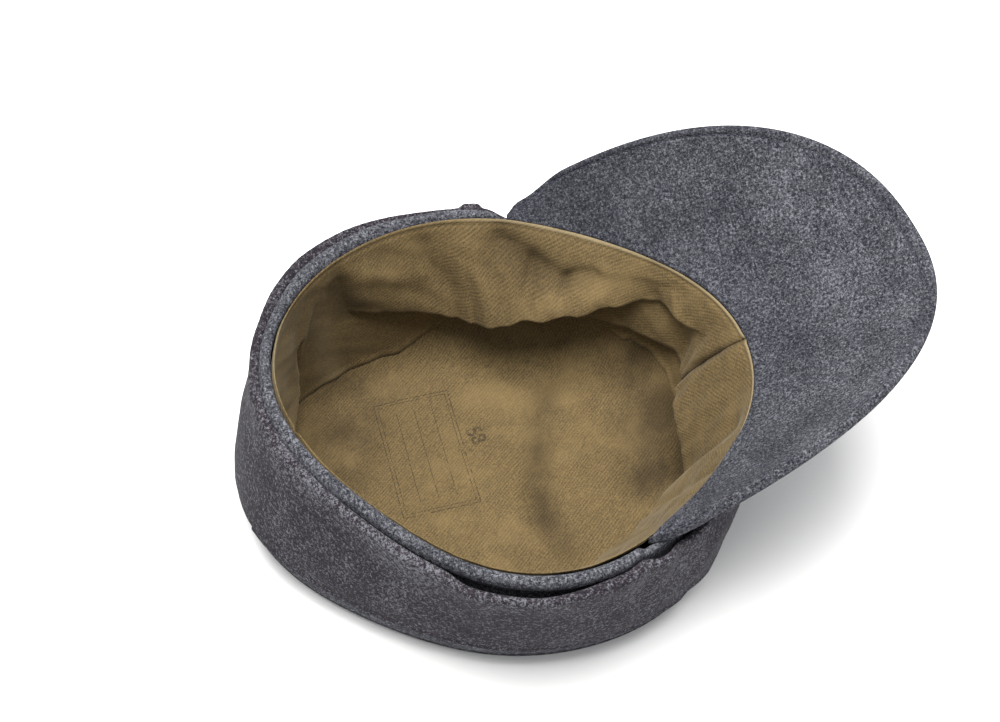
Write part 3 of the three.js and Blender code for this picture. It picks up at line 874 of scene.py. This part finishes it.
def side_panel(name, first, last, node):
    """A panel of the side between two seams, each given as a direction for a height."""
    part = np.linspace(0, 1, 92)[:, None] ** 0.92
    across = np.linspace(0, 1, 332)[None, :]
    angle = mix(first(40.0), last(40.0), across)
    foot = foot_level(angle)
    height = mix(foot, edge_height(angle), part)
    gap = SEAM_GAP / DEGREE
    angle = mix(first(height) + gap, last(height) - gap, across)
    radius = lining_face(angle, height, foot)
    from_seam = np.minimum(across, 1 - across) * 180 * DEGREE
    radius = radius + SEAM_TUCK * bell(from_seam, 0, 1.3)
    inner = point_at(angle, radius, height)
    outer = point_at(angle, radius + left_of_cloth(angle, height), height)
    uv = np.stack(np.broadcast_arrays(angle * DEGREE, height), axis=-1)
    seams = 0.6 * bell(from_seam, 0, 1.0) + 0 * height
    marks = {"painted_shade_and_seams": np.clip(side_painted_shade(angle, height) + seams, 0, 1),
             "edge": paler_edge_and_painted_light(angle, height)}
    piece = cloth(name, inner, outer, uv=uv, marks=marks)
    return dress(piece, side_twill, "lining_twill", node)


def back_seam(height):
    """The back seam stands straight."""
    return 180.0 + 0 * height


def seam_after_turn(height):
    """The front seam again, a whole turn later."""
    return 360 + seam_angle(height)


side_panel("lining_panel_right", seam_angle, back_seam, "lining_side_right")
side_panel("lining_panel_left", back_seam, seam_after_turn, "lining_side_left")

# %% [markdown]
# ## Wool: crown, side and hem
#
# The wool side rises from the crown's edge and is turned over at the rim into a thick soft hem.
# A round roll is best described by its own angle: as the turn runs from the side of the roll to
# its top, the depth follows a cosine and the thickness a sine. Where the hem is gathered, short
# waves run round it.

# %% Wool side with its hem
PEAK_SEAT = 3.5 + 2 * GAP
SEAT_START, SEAT_END = 77, 80
HEM_SWELL_AT, HEM_SWELL_SPREAD, HEM_SWELL, FOLD_SWELL = 121, 33, 0.75, 0.3
ROLL_SHARE = 0.03  # how much of the rows' way down is the hem's round top


def from_front(angle):
    """Turn away from the front, to either side."""
    return np.abs(turn_between(0, angle))


def side_top(angle):
    """Top of the wool: the rim, or under the peak's cloth where the peak is sewn on."""
    return rim_height(angle) - PEAK_SEAT * (1 - ease(from_front(angle), SEAT_START, SEAT_END))


def hem_width(angle):
    """The hem is wider where the cloth bunches up, and thins out toward the peak's ends."""
    swell = 1 + HEM_SWELL * hump(angle, HEM_SWELL_AT, HEM_SWELL_SPREAD)
    return HEM_WIDTH * swell * mix(0.62, 1, ease(from_front(angle), 78, 85))


def gathers(angle):
    """Short waves round the hem: stronger near the back, and never quite even."""
    u = turn_between(0, angle) * DEGREE
    strength = 0.10 + 0.5 * hump(angle, 173, 13) + 0.12 * hump(angle, -125, 60)
    return strength * np.sin(2 * np.pi * u / 3.6 + 1.6 * np.sin(u / 9)) + 0.18 * np.sin(u / 5.3)


def roll_rows(total, radius, turns, flats):
    """Depths below a rolled top and the share of thickness left there.

    Depth is radius times (1 - cosine), thickness the sine, of a turn from 0 to a quarter.
    """
    turn = np.linspace(0.12, np.pi / 2, turns)
    straight = np.linspace(0, 1, flats + 1)[1:] ** 1.5 * (total - radius) + radius
    depth = np.concatenate([radius * (1 - np.cos(turn)), straight])
    thickness = np.concatenate([np.sin(turn), np.ones(flats)])
    return depth[:, None], thickness[:, None]


def wool_ring(name, *nodes):
    """The wool side all round; rows run down from the rim."""
    angle = ring_angles(660)
    top = side_top(angle)
    depth, left = roll_rows(1.0, ROLL_SHARE, 9, 30)
    hem = hem_width(angle)
    below_roll = mix(top - hem / 2, CROWN_EDGE_ROUND, share(depth, ROLL_SHARE, 1.0))
    on_roll = top - depth / ROLL_SHARE * hem / 2
    height = np.where(depth <= ROLL_SHARE, on_roll, below_roll)
    inner = side_radius(angle, height) - WOOL
    swell = (hem - WOOL) * ease(height, top - HEM_DEPTH, top - HEM_DEPTH / 2)
    outer = side_radius(angle, height) + swell
    waves = gathers(angle) * ease(height, top - HEM_DEPTH, top - 2)
    u = angle * DEGREE
    surface = rumple(u, height, 31, 10, 60, 0.2)
    middle, half = (inner + outer) / 2, (outer - inner) / 2 * left
    inside = point_at(angle, middle - half + 0.3 * waves, height + 0.5 * waves)
    out = middle + half + waves + surface * (1 - left**8)
    outside = point_at(angle, out, height + 0.5 * waves)
    return dress(cloth(name, inside, outside, ring=True), lit_hem_wool, "felted_wool", *nodes)


wool_ring("wool_side", "crown_side_right", "crown_side_left")

# %% Crown: a flat oval whose border turns up to the side
angle = ring_angles(260)
row = np.concatenate([np.linspace(0, 1, 30), 1 + np.linspace(0.08, 1, 12)])[:, None]
turn = 0.5 * np.pi * np.maximum(row - 1, 0)
flat = flat_reach(angle) * np.minimum(row, 1)
heading = np.radians(angle)
wave = rumple(flat * np.cos(heading), flat * np.sin(heading), 33, 12, 60, 0.12)
faces = []
for bend in (CROWN_EDGE_ROUND - WOOL, CROWN_EDGE_ROUND):
    radius = flat + bend * np.sin(turn)
    height = CROWN_EDGE_ROUND - bend * np.cos(turn) - 0.15 * (row == 2)
    faces.append(point_at(angle, radius, height + np.abs(wave) * (1 - np.maximum(row - 1, 0))))
crown_piece = cloth("wool_crown", faces[0], faces[1], ring=True, pole=True)
dress(crown_piece, shaded_wool, "felted_wool", "crown_top")

# %% [markdown]
# ## The turned-up flap
#
# Outside the hem a second, doubled layer is folded up: it can be pulled down over the ears. It
# is sewn in behind the peak's ends and runs on to the front as a free strap under the peak,
# where one end lies over the other and is buttoned. Its top edge is a roll, its lower edge a
# thinner one.

# %% Flap
FLAP_CLOTH, FLAP_FOLD, FLAP_FOLD_DROP = 3, 4.4, 3
FLAP_EDGE_HEIGHT, FLAP_SCALLOP, SCALLOP_START, SCALLOP_END = 17, 18, 20, 62
STRAP_DROP, STRAP_ROOT_DROP, STRAP_SLOPE, STRAP_LAP = 11, 6.5, 30, 9
FLAP_ROOT, FLAP_ROOT_START, FLAP_ROOT_END = 79, 4, 2
LAP_HOLD, LAP_SETTLE = 2, 14
FLAP_STITCH_INSET = 4.2
BILLOWS = [(-56, 44, 0.4), (185, 55, 0.7)]  # at, spread, lift as a share of the cloth
PALER_TOP_AT, PALER_TOP_SPREAD, PALER_TOP, PALER_TOP_BAND = 209, 62, 0.9, 15  # degrees, strength, millimetres
SEAM_PULL, SEAM_PULL_AT, SEAM_PULL_SPREAD = 1.2, 177, 50  # the seam draws the flap to the hem
LAP_DEGREES = STRAP_LAP / DEGREE
LAP_LIFT = FLAP_CLOTH + GAP


def flap_sewn(angle):
    """1 where the flap is sewn to the rim, 0 along the free strap."""
    return ease(from_front(angle), FLAP_ROOT - FLAP_ROOT_START, FLAP_ROOT + FLAP_ROOT_END)


def gape(angle):
    """1 where the flap stands off the hem on the near side."""
    return plateau(angle, 233, 241, 254, 273)


def slot(angle):
    """1 where the near strap leaves the hem and a dark slot opens between them."""
    return hump(angle, -74, 6)


def flap_top(angle):
    """Top of the flap: just below the rim where it is sewn, lower along the strap."""
    slope = ease(from_front(angle), FLAP_ROOT - STRAP_SLOPE, FLAP_ROOT)
    strap = mix(STRAP_DROP, STRAP_ROOT_DROP, slope)
    turned_end = plateau(angle, 81.6, 83.0, 86.2, 88.4)
    drop = mix(strap, FLAP_FOLD_DROP, flap_sewn(angle))
    return rim_height(angle) - drop + 2.2 * turned_end - 1.3 * gape(angle) + 2.4 * slot(angle)


def flap_bottom(angle):
    """The free edge climbs in a scallop toward the front."""
    down = ease(from_front(angle), SCALLOP_START, SCALLOP_END)
    return FLAP_EDGE_HEIGHT + FLAP_SCALLOP * (1 - down)


def flap_inner(angle, height, lap):
    """The flap hangs straight from the hem and stands off the side in its billows."""
    climb = share(height, flap_bottom(angle), flap_top(angle))
    hem = hem_width(angle) - WOOL
    top = rim_height(angle)
    hang = np.maximum(hem * ease(height, top - HEM_DEPTH, top - HEM_DEPTH / 2), hem * climb)
    billow = sum(FLAP_CLOTH * lift * hump(angle, at, spread) for at, spread, lift in BILLOWS)
    free = 1 - climb * flap_sewn(angle)
    stand_off = (2.4 * gape(angle) + 2.8 * slot(angle)) * climb**2
    pulled = SEAM_PULL * hump(angle, SEAM_PULL_AT, SEAM_PULL_SPREAD) * climb**6
    return side_radius(angle, height) + GAP + hang + lap + billow * free + stand_off - pulled


def strap_crease(angle, height):
    """A soft crease across each strap where it leaves the hem."""
    lean = (height - 45) * 0.16
    place = from_front(angle) - lean
    return -0.9 * bell(place, 66, 2.2) + 0.6 * bell(place, 60, 3.5)


def flap_piece(name, *nodes):
    """The whole flap; rows run from the free edge up over the roll at the rim."""
    angle = np.linspace(-LAP_DEGREES, 360 + LAP_DEGREES, 690)[None, :]
    top, bottom = flap_top(angle), flap_bottom(angle)
    fold = FLAP_FOLD + HEM_WIDTH * FOLD_SWELL * hump(angle, HEM_SWELL_AT, HEM_SWELL_SPREAD)
    fold = mix(FLAP_CLOTH, fold, flap_sewn(angle))
    roll = np.linspace(0.12, np.pi / 2, 8)
    low = FLAP_CLOTH / 2 * (1 - np.cos(roll))[:, None] + 0 * angle
    high = fold / 2 * (1 - np.cos(roll[::-1]))[:, None]
    between = np.linspace(0, 1, 40)[1:-1, None]
    height = np.concatenate([
        bottom + low, mix(bottom + FLAP_CLOTH / 2, top - fold / 2, between), top - high
    ])
    left = np.concatenate([np.sin(roll), np.ones(38), np.sin(roll[::-1])])[:, None]
    lap = ease(angle, 360 - LAP_DEGREES - LAP_SETTLE, 360 - LAP_DEGREES - LAP_HOLD)
    inner = flap_inner(angle, height, LAP_LIFT * lap)
    thick = mix(FLAP_CLOTH, fold, ease(height, top - 2 * HEM_DEPTH, top))
    u = turn_between(0, angle) * DEGREE
    loose = strap_crease(angle, height) * (1 - flap_sewn(angle))
    surface = rumple(u, height, 41, 9, 70, 0.42) + loose
    stitched = -0.35 * bell(height - bottom, FLAP_STITCH_INSET, 0.8)
    waves = 0.5 * gathers(angle) * ease(height, top - 6, top - 1) * flap_sewn(angle)
    middle, half = inner + thick / 2, thick / 2 * left
    shift = (surface + stitched + waves) * left
    inside = point_at(angle, middle - half, height)
    outside = point_at(angle, middle + half + shift, height + 0.4 * waves)
    # Paler flecks along the flap's top, round the back and the near side.
    paler_top = PALER_TOP * ease(height, top - PALER_TOP_BAND, top - 1) * hump(angle, PALER_TOP_AT, PALER_TOP_SPREAD)
    piece = cloth(name, inside, outside, marks={"paler_top": paler_top})
    return dress(piece, shaded_wool, "felted_wool", *nodes)


flap_piece("wool_flap", "flap_right", "flap_left")

# %% [markdown]
# ## The peak
#
# Two layers of wool over a stiffener, stitched round five millimetres inside the edge. The edge
# follows a superellipse, an oval squared off by its power. A point of the peak lies on the
# straight line from the rim to the edge, bowed down a little. The stitching pulls a shallow
# ditch into both faces, so the rows of the grid are crowded there.

# %% Peak surface
PEAK_CLOTH, PEAK_REACH, PEAK_HALF_WIDTH, PEAK_ROOT_ANGLE = 3.5, 132, 91, 76
PEAK_BASE_FORWARD, PEAK_RISE, PEAK_BASE_HEIGHT, PEAK_SIDE_LIFT = 33, 0.456, 51.5, 31.5
PEAK_END_LIFT, PEAK_BOW, PEAK_OVAL_POWER, PEAK_END_TURN = 2, 2.5, 2.24, 93
PEAK_END_SHARE = 0.9
STITCH_INSET = 5.2
EDGE_BAND, NARROW = 16, 22  # where the rows are crowded, and the depth below which they close up


def peak_edge(along):
    """Superellipse: sign times the cosine or sine to the power of two over the oval's power."""
    turn = along * math.radians(PEAK_END_TURN)
    forward = np.sign(np.cos(turn)) * np.abs(np.cos(turn)) ** (2 / PEAK_OVAL_POWER)
    sideways = np.sign(np.sin(turn)) * np.abs(np.sin(turn)) ** (2 / PEAK_OVAL_POWER)
    ahead = PEAK_REACH * forward
    height = PEAK_BASE_HEIGHT + PEAK_RISE * ahead + PEAK_SIDE_LIFT * sideways**2
    return np.stack([PEAK_HALF_WIDTH * sideways, -(PEAK_BASE_FORWARD + ahead), height], axis=-1)


def peak_root(along):
    """The peak's middle layer where it is sewn to the rim."""
    angle = along * PEAK_ROOT_ANGLE
    return point_at(angle, rim_radius(angle) - 0.5, rim_height(angle) - PEAK_CLOTH / 2)


def peak_middle(along, out):
    """A point midway through the cloth: along from -1 to 1, out from 0 at the rim to 1."""
    root, edge = peak_root(along), peak_edge(along)
    settle = ease(np.abs(along), PEAK_END_SHARE, 1)
    edge = edge.copy()
    edge[..., 2] = mix(edge[..., 2], root[..., 2] + PEAK_END_LIFT * (1 - settle), settle)
    far_end = 0.8 * ease(along, 0.975, 1) ** 2
    near_end = 0.93 * ease(-along, 0.93, 1)
    edge = mix(edge, root, (far_end + near_end)[..., None])
    place = mix(root, edge, np.asarray(out)[..., None])
    bow = PEAK_BOW * (1 - along**2) * np.sin(np.pi * out)
    place[..., 2] -= bow
    return place


def peak_depth(along):
    """Distance from root to edge."""
    return np.linalg.norm(peak_edge(along) - peak_root(along), axis=-1)


def unit(vectors):
    """The same directions with length one."""
    return vectors / np.maximum(np.linalg.norm(vectors, axis=-1, keepdims=True), 1e-9)


def peak_up(along, out):
    """Upward normal: the cross product of a step outward and a step along."""
    step = 0.01
    sideways = peak_middle(np.minimum(along + step, 1), out) - peak_middle(
        np.maximum(along - step, -1), out)
    outward = peak_middle(along, np.minimum(out + step, 1)) - peak_middle(
        along, np.maximum(out - step, 0))
    normal = unit(np.cross(outward, sideways))
    return normal * np.where(normal[..., 2:] < 0, -1, 1)


# %% Peak piece
roll = np.linspace(0.12, np.pi / 2, 9)
round_edge = PEAK_CLOTH / 2 * (1 - np.cos(roll))
inset = np.concatenate([round_edge, np.linspace(2.1, 8.6, 24), np.linspace(9.6, EDGE_BAND, 6)])
along = np.linspace(-1, 1, 300)[None, :]
depth = peak_depth(along)
squeeze = np.minimum(1, depth / NARROW)
inside = np.linspace(1, 0, 46)[1:, None]
crowded = 1 - inset[:, None] * squeeze / depth
out = np.concatenate([crowded, (1 - EDGE_BAND * squeeze / depth) * inside])
thickness = np.concatenate([np.sin(roll), np.ones(len(out) - len(roll))])[:, None]
from_edge = (1 - out) * depth
ditch = 0.55 * bell(from_edge, STITCH_INSET, 0.75) * ease(depth, 8, 16)
padding = 0.35 * bell(from_edge, 2.4, 1.5) * ease(depth, 8, 16)
middle, up = peak_middle(along + 0 * out, out), peak_up(along + 0 * out, out)
u, v = middle[..., 0], middle[..., 1]
sway = rumple(u, v, 51, 14, 80, 0.35) * share(from_edge, 0, 12)
half = (PEAK_CLOTH / 2 * thickness - ditch + padding)[..., None]
top_face = middle + up * (half + sway[..., None])
under_face = middle - up * (half - sway[..., None])
from_root = out * depth
# Painted shade: the peak is darker near the rim and toward the wearer's right
painted_peak_shade = 0.42 * (1 - ease(from_root, 4, 62)) + 0.30 * ease(along, 0.15, 0.85) + 0 * out
marks = {"painted_peak_shade": np.clip(painted_peak_shade, 0, 1)}
peak_piece = cloth("wool_peak", under_face, top_face, marks=marks)
dress(peak_piece, peak_wool, "peak_wool", "peak")


# %% [markdown]
# ## Stitches
#
# A row of stitches is one small spindle repeated a few hundred times. All of them are worked out
# at once and joined into one mesh, with few faces each. A stitch goes in at one point and comes
# out at the next, and bulges a little between them.

# %% Stitches as one mesh
def stitch_row(name, starts, ends, normals, radius, rise, material, slot):
    """Spindles: the centre line rises by half a sine, and the radius is the root of that sine."""
    rings, sides = 7, 6
    part = np.linspace(0, 1, rings)[None, :, None]
    turn = np.linspace(0, 2 * np.pi, sides, endpoint=False)
    along = unit(ends - starts)
    across = unit(np.cross(along, normals))
    lift = np.cross(across, along)
    bulge = np.sin(np.pi * part)
    centre = mix(starts[:, None], ends[:, None], part) + lift[:, None] * rise * bulge
    width = radius * np.maximum(np.sqrt(bulge), 0.12)[..., None]
    circle = (np.cos(turn)[None, None, :, None] * across[:, None, None]
              + np.sin(turn)[None, None, :, None] * lift[:, None, None])
    points = centre[:, :, None] + width * circle
    index = np.arange(rings * sides).reshape(rings, sides)
    index = np.hstack([index, index[:, :1]])
    body = grid_quads(index)
    caps = [[index[0, 0], index[0, 1], index[0, 2], index[0, 3]],
            [index[0, 3], index[0, 4], index[0, 5], index[0, 0]],
            [index[-1, 3], index[-1, 2], index[-1, 1], index[-1, 0]],
            [index[-1, 0], index[-1, 5], index[-1, 4], index[-1, 3]]]
    one = np.concatenate([body[:, ::-1], np.array(caps)])
    offsets = np.arange(len(starts)) * rings * sides
    faces = (one[None] + offsets[:, None, None]).reshape(-1, 4)
    if signed_volume(points.reshape(-1, 3), faces) < 0:
        faces = faces[:, ::-1]
    piece = put_mesh(name, points, faces)
    print(name, len(starts), "stitches")
    return dress(piece, material, slot)


def spaced(points, pitch):
    """Shares along a line of points, one pitch of length apart."""
    length = np.concatenate([[0], np.cumsum(np.linalg.norm(np.diff(points, axis=0), axis=1))])
    count = int(length[-1] / pitch)
    return np.interp(np.linspace(0, length[-1], count + 1), length, np.arange(len(points)))


# %% Stitching round the peak, on both faces
guide = np.linspace(-0.985, 0.985, 900)
guide = guide[peak_depth(guide) > 13]
line = peak_middle(guide, 1 - STITCH_INSET / peak_depth(guide))
at = np.interp(spaced(line, 2.9), np.arange(len(guide)), guide)
for face, title in ((1, "upper"), (-1, "under")):
    ends_at = []
    for shift in (0.0, 0.82):
        spot = mix(at[:-1], at[1:], shift)
        out_at = 1 - STITCH_INSET / peak_depth(spot)
        up_at = peak_up(spot, out_at)
        ends_at.append(peak_middle(spot, out_at) + face * up_at * (PEAK_CLOTH / 2 - 0.62))
    stitch_row("peak_stitches_" + title, ends_at[0], ends_at[1], face * up_at, 0.28, 0.18,
               navy_thread, "peak_wool")

# %% Stitches along the lining's edge
rim_turn = np.linspace(0, 360, 2400)
rim_line = point_at(rim_turn, rim_radius(rim_turn), rim_height(rim_turn))
at = np.interp(spaced(rim_line, 2.6), np.arange(2400), rim_turn)[:-1]
level = edge_height(at) - STITCH_DEPTH
face = lining_face(at, level, foot_level(at))
start_at = point_at(at, face + 0.02, level)
end_at = point_at(at + 1.5 / DEGREE, face + 0.02, level)
stitch_row("lining_stitches", start_at, end_at, point_at(at, -1.0, 0.0), 0.13, 0.1,
           brown_thread, "lining_twill")

# %% [markdown]
# ## Buttons
#
# Two plain four-hole buttons close the straps. A button is turned, so its face is a profile
# carried round an axis; the holes are pits pressed into that face, and a cross of thread runs
# through them.

# %% Buttons and their thread
BUTTON_RADIUS, BUTTON_THICKNESS, BUTTON_SPACING = 5.5, 2.6, 14
HOLE_OFFSET, HOLE_RADIUS = 1.25, 0.62
BUTTON_SEAT, BUTTON_WELL = 0.55, 0.72  # stand-off in millimetres; the face's middle as a share
BUTTON_PROFILE = np.array([  # radius, height, from the back's middle to the face's middle
    (0, 0), (0.5, 0), (0.9, 0), (0.97, 0.12), (1, 0.35), (0.99, 0.62), (0.95, 0.85), (0.88, 0.98),
    (0.8, 1.0), (0.72, 0.93), (0.66, 0.8), (0.6, 0.74), (0.3, 0.72), (0, 0.72),
])


def button_piece(name, height, node):
    """Face and back of a turned profile, with pits where the holes are."""
    smooth = np.linspace(0, 1, 30)[:, None]
    turn = np.linspace(0, 2 * np.pi, 72, endpoint=False)[None, :]
    radius = (smooth * BUTTON_RADIUS) + 0 * turn
    face_rows, back_rows = BUTTON_PROFILE[5:][::-1], BUTTON_PROFILE[:6]
    face = np.interp(smooth, face_rows[:, 0], face_rows[:, 1]) * BUTTON_THICKNESS + 0 * turn
    back = np.interp(smooth, back_rows[:, 0], back_rows[:, 1]) * BUTTON_THICKNESS + 0 * turn
    x, z = radius * np.cos(turn), radius * np.sin(turn)
    holes = np.hypot(np.abs(x) - HOLE_OFFSET, np.abs(z) - HOLE_OFFSET)
    pit = 0.9 * BUTTON_THICKNESS * BUTTON_WELL
    face = face - pit * ease(holes, HOLE_RADIUS * 1.25, HOLE_RADIUS * 0.7)
    below, seat, above = (
        float(flap_inner(np.array(0.0), np.array(level), LAP_LIFT) + FLAP_CLOTH)
        for level in (height - 1, height, height + 1)
    )
    lean = math.atan2(above - below, 2)
    right = np.array([1, 0, 0])
    out = np.array([0, -math.cos(lean), -math.sin(lean)])
    up = np.array([0, -math.sin(lean), math.cos(lean)])
    centre = np.array([0, -seat - BUTTON_SEAT, height])

    def place(side, level):
        """From the button's own two directions and its depth to the cap."""
        return (centre + side[0][..., None] * right + side[1][..., None] * up
                + level[..., None] * out)

    piece = cloth(name, place((x, z), back), place((x, z), face), ring=True, pole=True)
    dress(piece, button_compound, "button", node)
    corners = HOLE_OFFSET * np.array([(1, 1), (-1, 1), (1, -1), (-1, -1)])
    level = np.full(4, BUTTON_WELL * BUTTON_THICKNESS - 0.1)
    ends = place((corners[:, 0], corners[:, 1]), level)
    return stitch_row(name + "_thread", ends[[0, 1, 0, 1]], ends[[3, 2, 3, 2]] + up * 0.3,
                      np.tile(out, (4, 1)), 0.3, 0.35, navy_thread, "button")


strap_middle = float(flap_top(np.array(0.0)) + flap_bottom(np.array(0.0))) / 2
button_piece("button_upper", strap_middle - BUTTON_SPACING / 2, "flap_button_upper")
button_piece("button_lower", strap_middle + BUTTON_SPACING / 2, "flap_button_lower")

# %% [markdown]
# ## The stamp on the floor
#
# Such linings carry a worn ink stamp. Ours is an empty double frame with plain rules and a plain
# size number. Each line is a thin ribbon that follows the floor's own height, so it can't sink
# in or float, and the ink's patchy Alpha makes it look rubbed.

# %% Frame, rules and number
STAMP_CENTRE, STAMP_TURN = (23.2, 35.4), -3.0
NUMBER_AT, NUMBER_SIZE = (30.2, 15.4), 9.5
INK_LIFT = 0.09  # millimetres above the cloth


def stamp_place(x, y):
    """From the stamp's own sheet to the floor: a turn, then a shift."""
    turn = math.radians(STAMP_TURN)
    return (STAMP_CENTRE[0] + x * math.cos(turn) - y * math.sin(turn),
            STAMP_CENTRE[1] + x * math.sin(turn) + y * math.cos(turn))


def ink_line(x0, y0, x1, y1, width):
    """Rows of a ribbon's two borders along a straight line."""
    part = np.linspace(0, 1, 60)[:, None]
    side = np.array([-0.5, 0.5])[None, :] * width
    length = math.hypot(x1 - x0, y1 - y0)
    x = mix(x0, x1, part) - side * (y1 - y0) / length
    y = mix(y0, y1, part) + side * (x1 - x0) / length
    x, y = stamp_place(x, y)
    return np.stack([x, y, floor_height(x, y) + INK_LIFT], axis=-1)


lines = []
for half_x, half_y, width in ((30.8, 16.9, 0.42), (29.2, 15.3, 0.32)):
    corners = [(-half_x, -half_y), (half_x, -half_y), (half_x, half_y), (-half_x, half_y)]
    for (x0, y0), (x1, y1) in zip(corners, corners[1:] + corners[:1]):
        lines.append(ink_line(x0, y0, x1, y1, width))
for level in (-8, 0, 8):
    lines.append(ink_line(-24, level, 24, level, 0.3))
for number, grid in enumerate(lines):
    ribbon = cloth("stamp_line_%02d" % number, grid - [0, 0, 0.04], grid)
    dress(ribbon, faded_ink, "lining_twill")

text = bpy.data.curves.new("size_number", "FONT")
text.body, text.size = "58", NUMBER_SIZE * MM
text.extrude, text.offset = 0.03 * MM, 0.16 * MM
text_object = put_object("size_number_text", text)
bpy.context.view_layer.update()
graph = bpy.context.evaluated_depsgraph_get()
digits_mesh = bpy.data.meshes.new_from_object(text_object.evaluated_get(graph))
bpy.data.objects.remove(text_object)
corners = np.zeros(len(digits_mesh.vertices) * 3, dtype=np.float32)
digits_mesh.vertices.foreach_get("co", corners)
corners = corners.reshape(-1, 3) / MM
baseline, upright = np.array([-0.988, -0.153]), np.array([0.153, -0.988])
flat = np.array(NUMBER_AT) + corners[:, :1] * baseline + corners[:, 1:2] * upright
level = floor_height(flat[:, 0], flat[:, 1]) + INK_LIFT + corners[:, 2]
placed = (np.column_stack([flat, level]) * MM).astype(np.float32)
digits_mesh.vertices.foreach_set("co", placed.ravel())
digits_mesh.update()
dress(put_object("size_number", digits_mesh), faded_ink, "lining_twill")
print("stamp has", len(lines), "lines")

# %% [markdown]
# ## Floor, light and camera
#
# A cap of dark wool needs broad soft light, or its folds turn into hard stripes. One large area
# light hangs over the cap and models the folds, and a pale world keeps the shadows open. Spot
# lights would cut sharp shadows into the lining. The floor is one big flat pale sheet.

# %% Floor sheet
FLOOR_HALF, FLOOR_LINES = 6000, 13
line_at = np.linspace(-FLOOR_HALF, FLOOR_HALF, FLOOR_LINES)
across, ahead = np.meshgrid(line_at, line_at)
backdrop = put_mesh("floor", np.stack([across, ahead, 0 * across], axis=-1),
                    grid_quads(np.arange(FLOOR_LINES**2).reshape(FLOOR_LINES, FLOOR_LINES)))
paper, start = new_material("pale_floor")
tone = millimetres(start).noise(0.002, 2.0)
paper_colour = blend(tone, (0.80, 0.80, 0.795, 1), (0.82, 0.818, 0.815, 1))
finish_material(paper, start, {"Base Color": paper_colour}, {"Roughness": 0.9})
backdrop.data.materials.append(paper)


# %% Light and world
def stand(thing, side, rise, back, place):
    """Turns and moves a lamp or camera: its three directions and its place are the columns."""
    columns = np.column_stack([side, rise, back, place])
    thing.matrix_world = Matrix(np.vstack([columns, [0, 0, 0, 1]]).tolist())


def area_light(name, power, size, place, target, colour):
    """A square soft light at a place, pointing at a target."""
    light = bpy.data.lights.new(name, "AREA")
    light.energy, light.size, light.color = power, size, colour
    back = unit(np.array(place, dtype=float) - np.array(target, dtype=float))
    side = unit(np.cross([0, 0, 1.0], back))
    stand(put_object(name, light), side, np.cross(back, side), back, place)


area_light("overhead", 66, 1.2, (0.02, 0.06, 1.70), (0, -0.02, 0.03), (1.0, 0.99, 0.975))
print("lights:", len(bpy.data.lights))
world = bpy.data.worlds.new("studio")
world.use_nodes = True
background = world.node_tree.nodes["Background"]
background.inputs["Color"].default_value = (0.97, 0.985, 1.0, 1)
background.inputs["Strength"].default_value = 0.8
bpy.context.scene.world = world
bpy.context.scene.view_settings.view_transform = "Standard"

# %% Camera at the photograph's angle
FORWARD = np.array([0.5864, -0.1876, -0.7880])
RIGHT = np.array([-0.3047, -0.9525, 0.0])
RISE = np.cross(RIGHT, FORWARD)
EYE = np.array([-0.3849, 0.1320, 0.6059])
camera_data = bpy.data.cameras.new("camera")
camera_data.lens, camera_data.sensor_width = 60.12, 36
camera_data.clip_start = 0.01
camera = put_object("camera", camera_data)
stand(camera, RIGHT, RISE, -FORWARD, EYE)
bpy.context.scene.camera = camera
print("camera", np.round(np.linalg.norm(EYE), 2), "m from the crown")
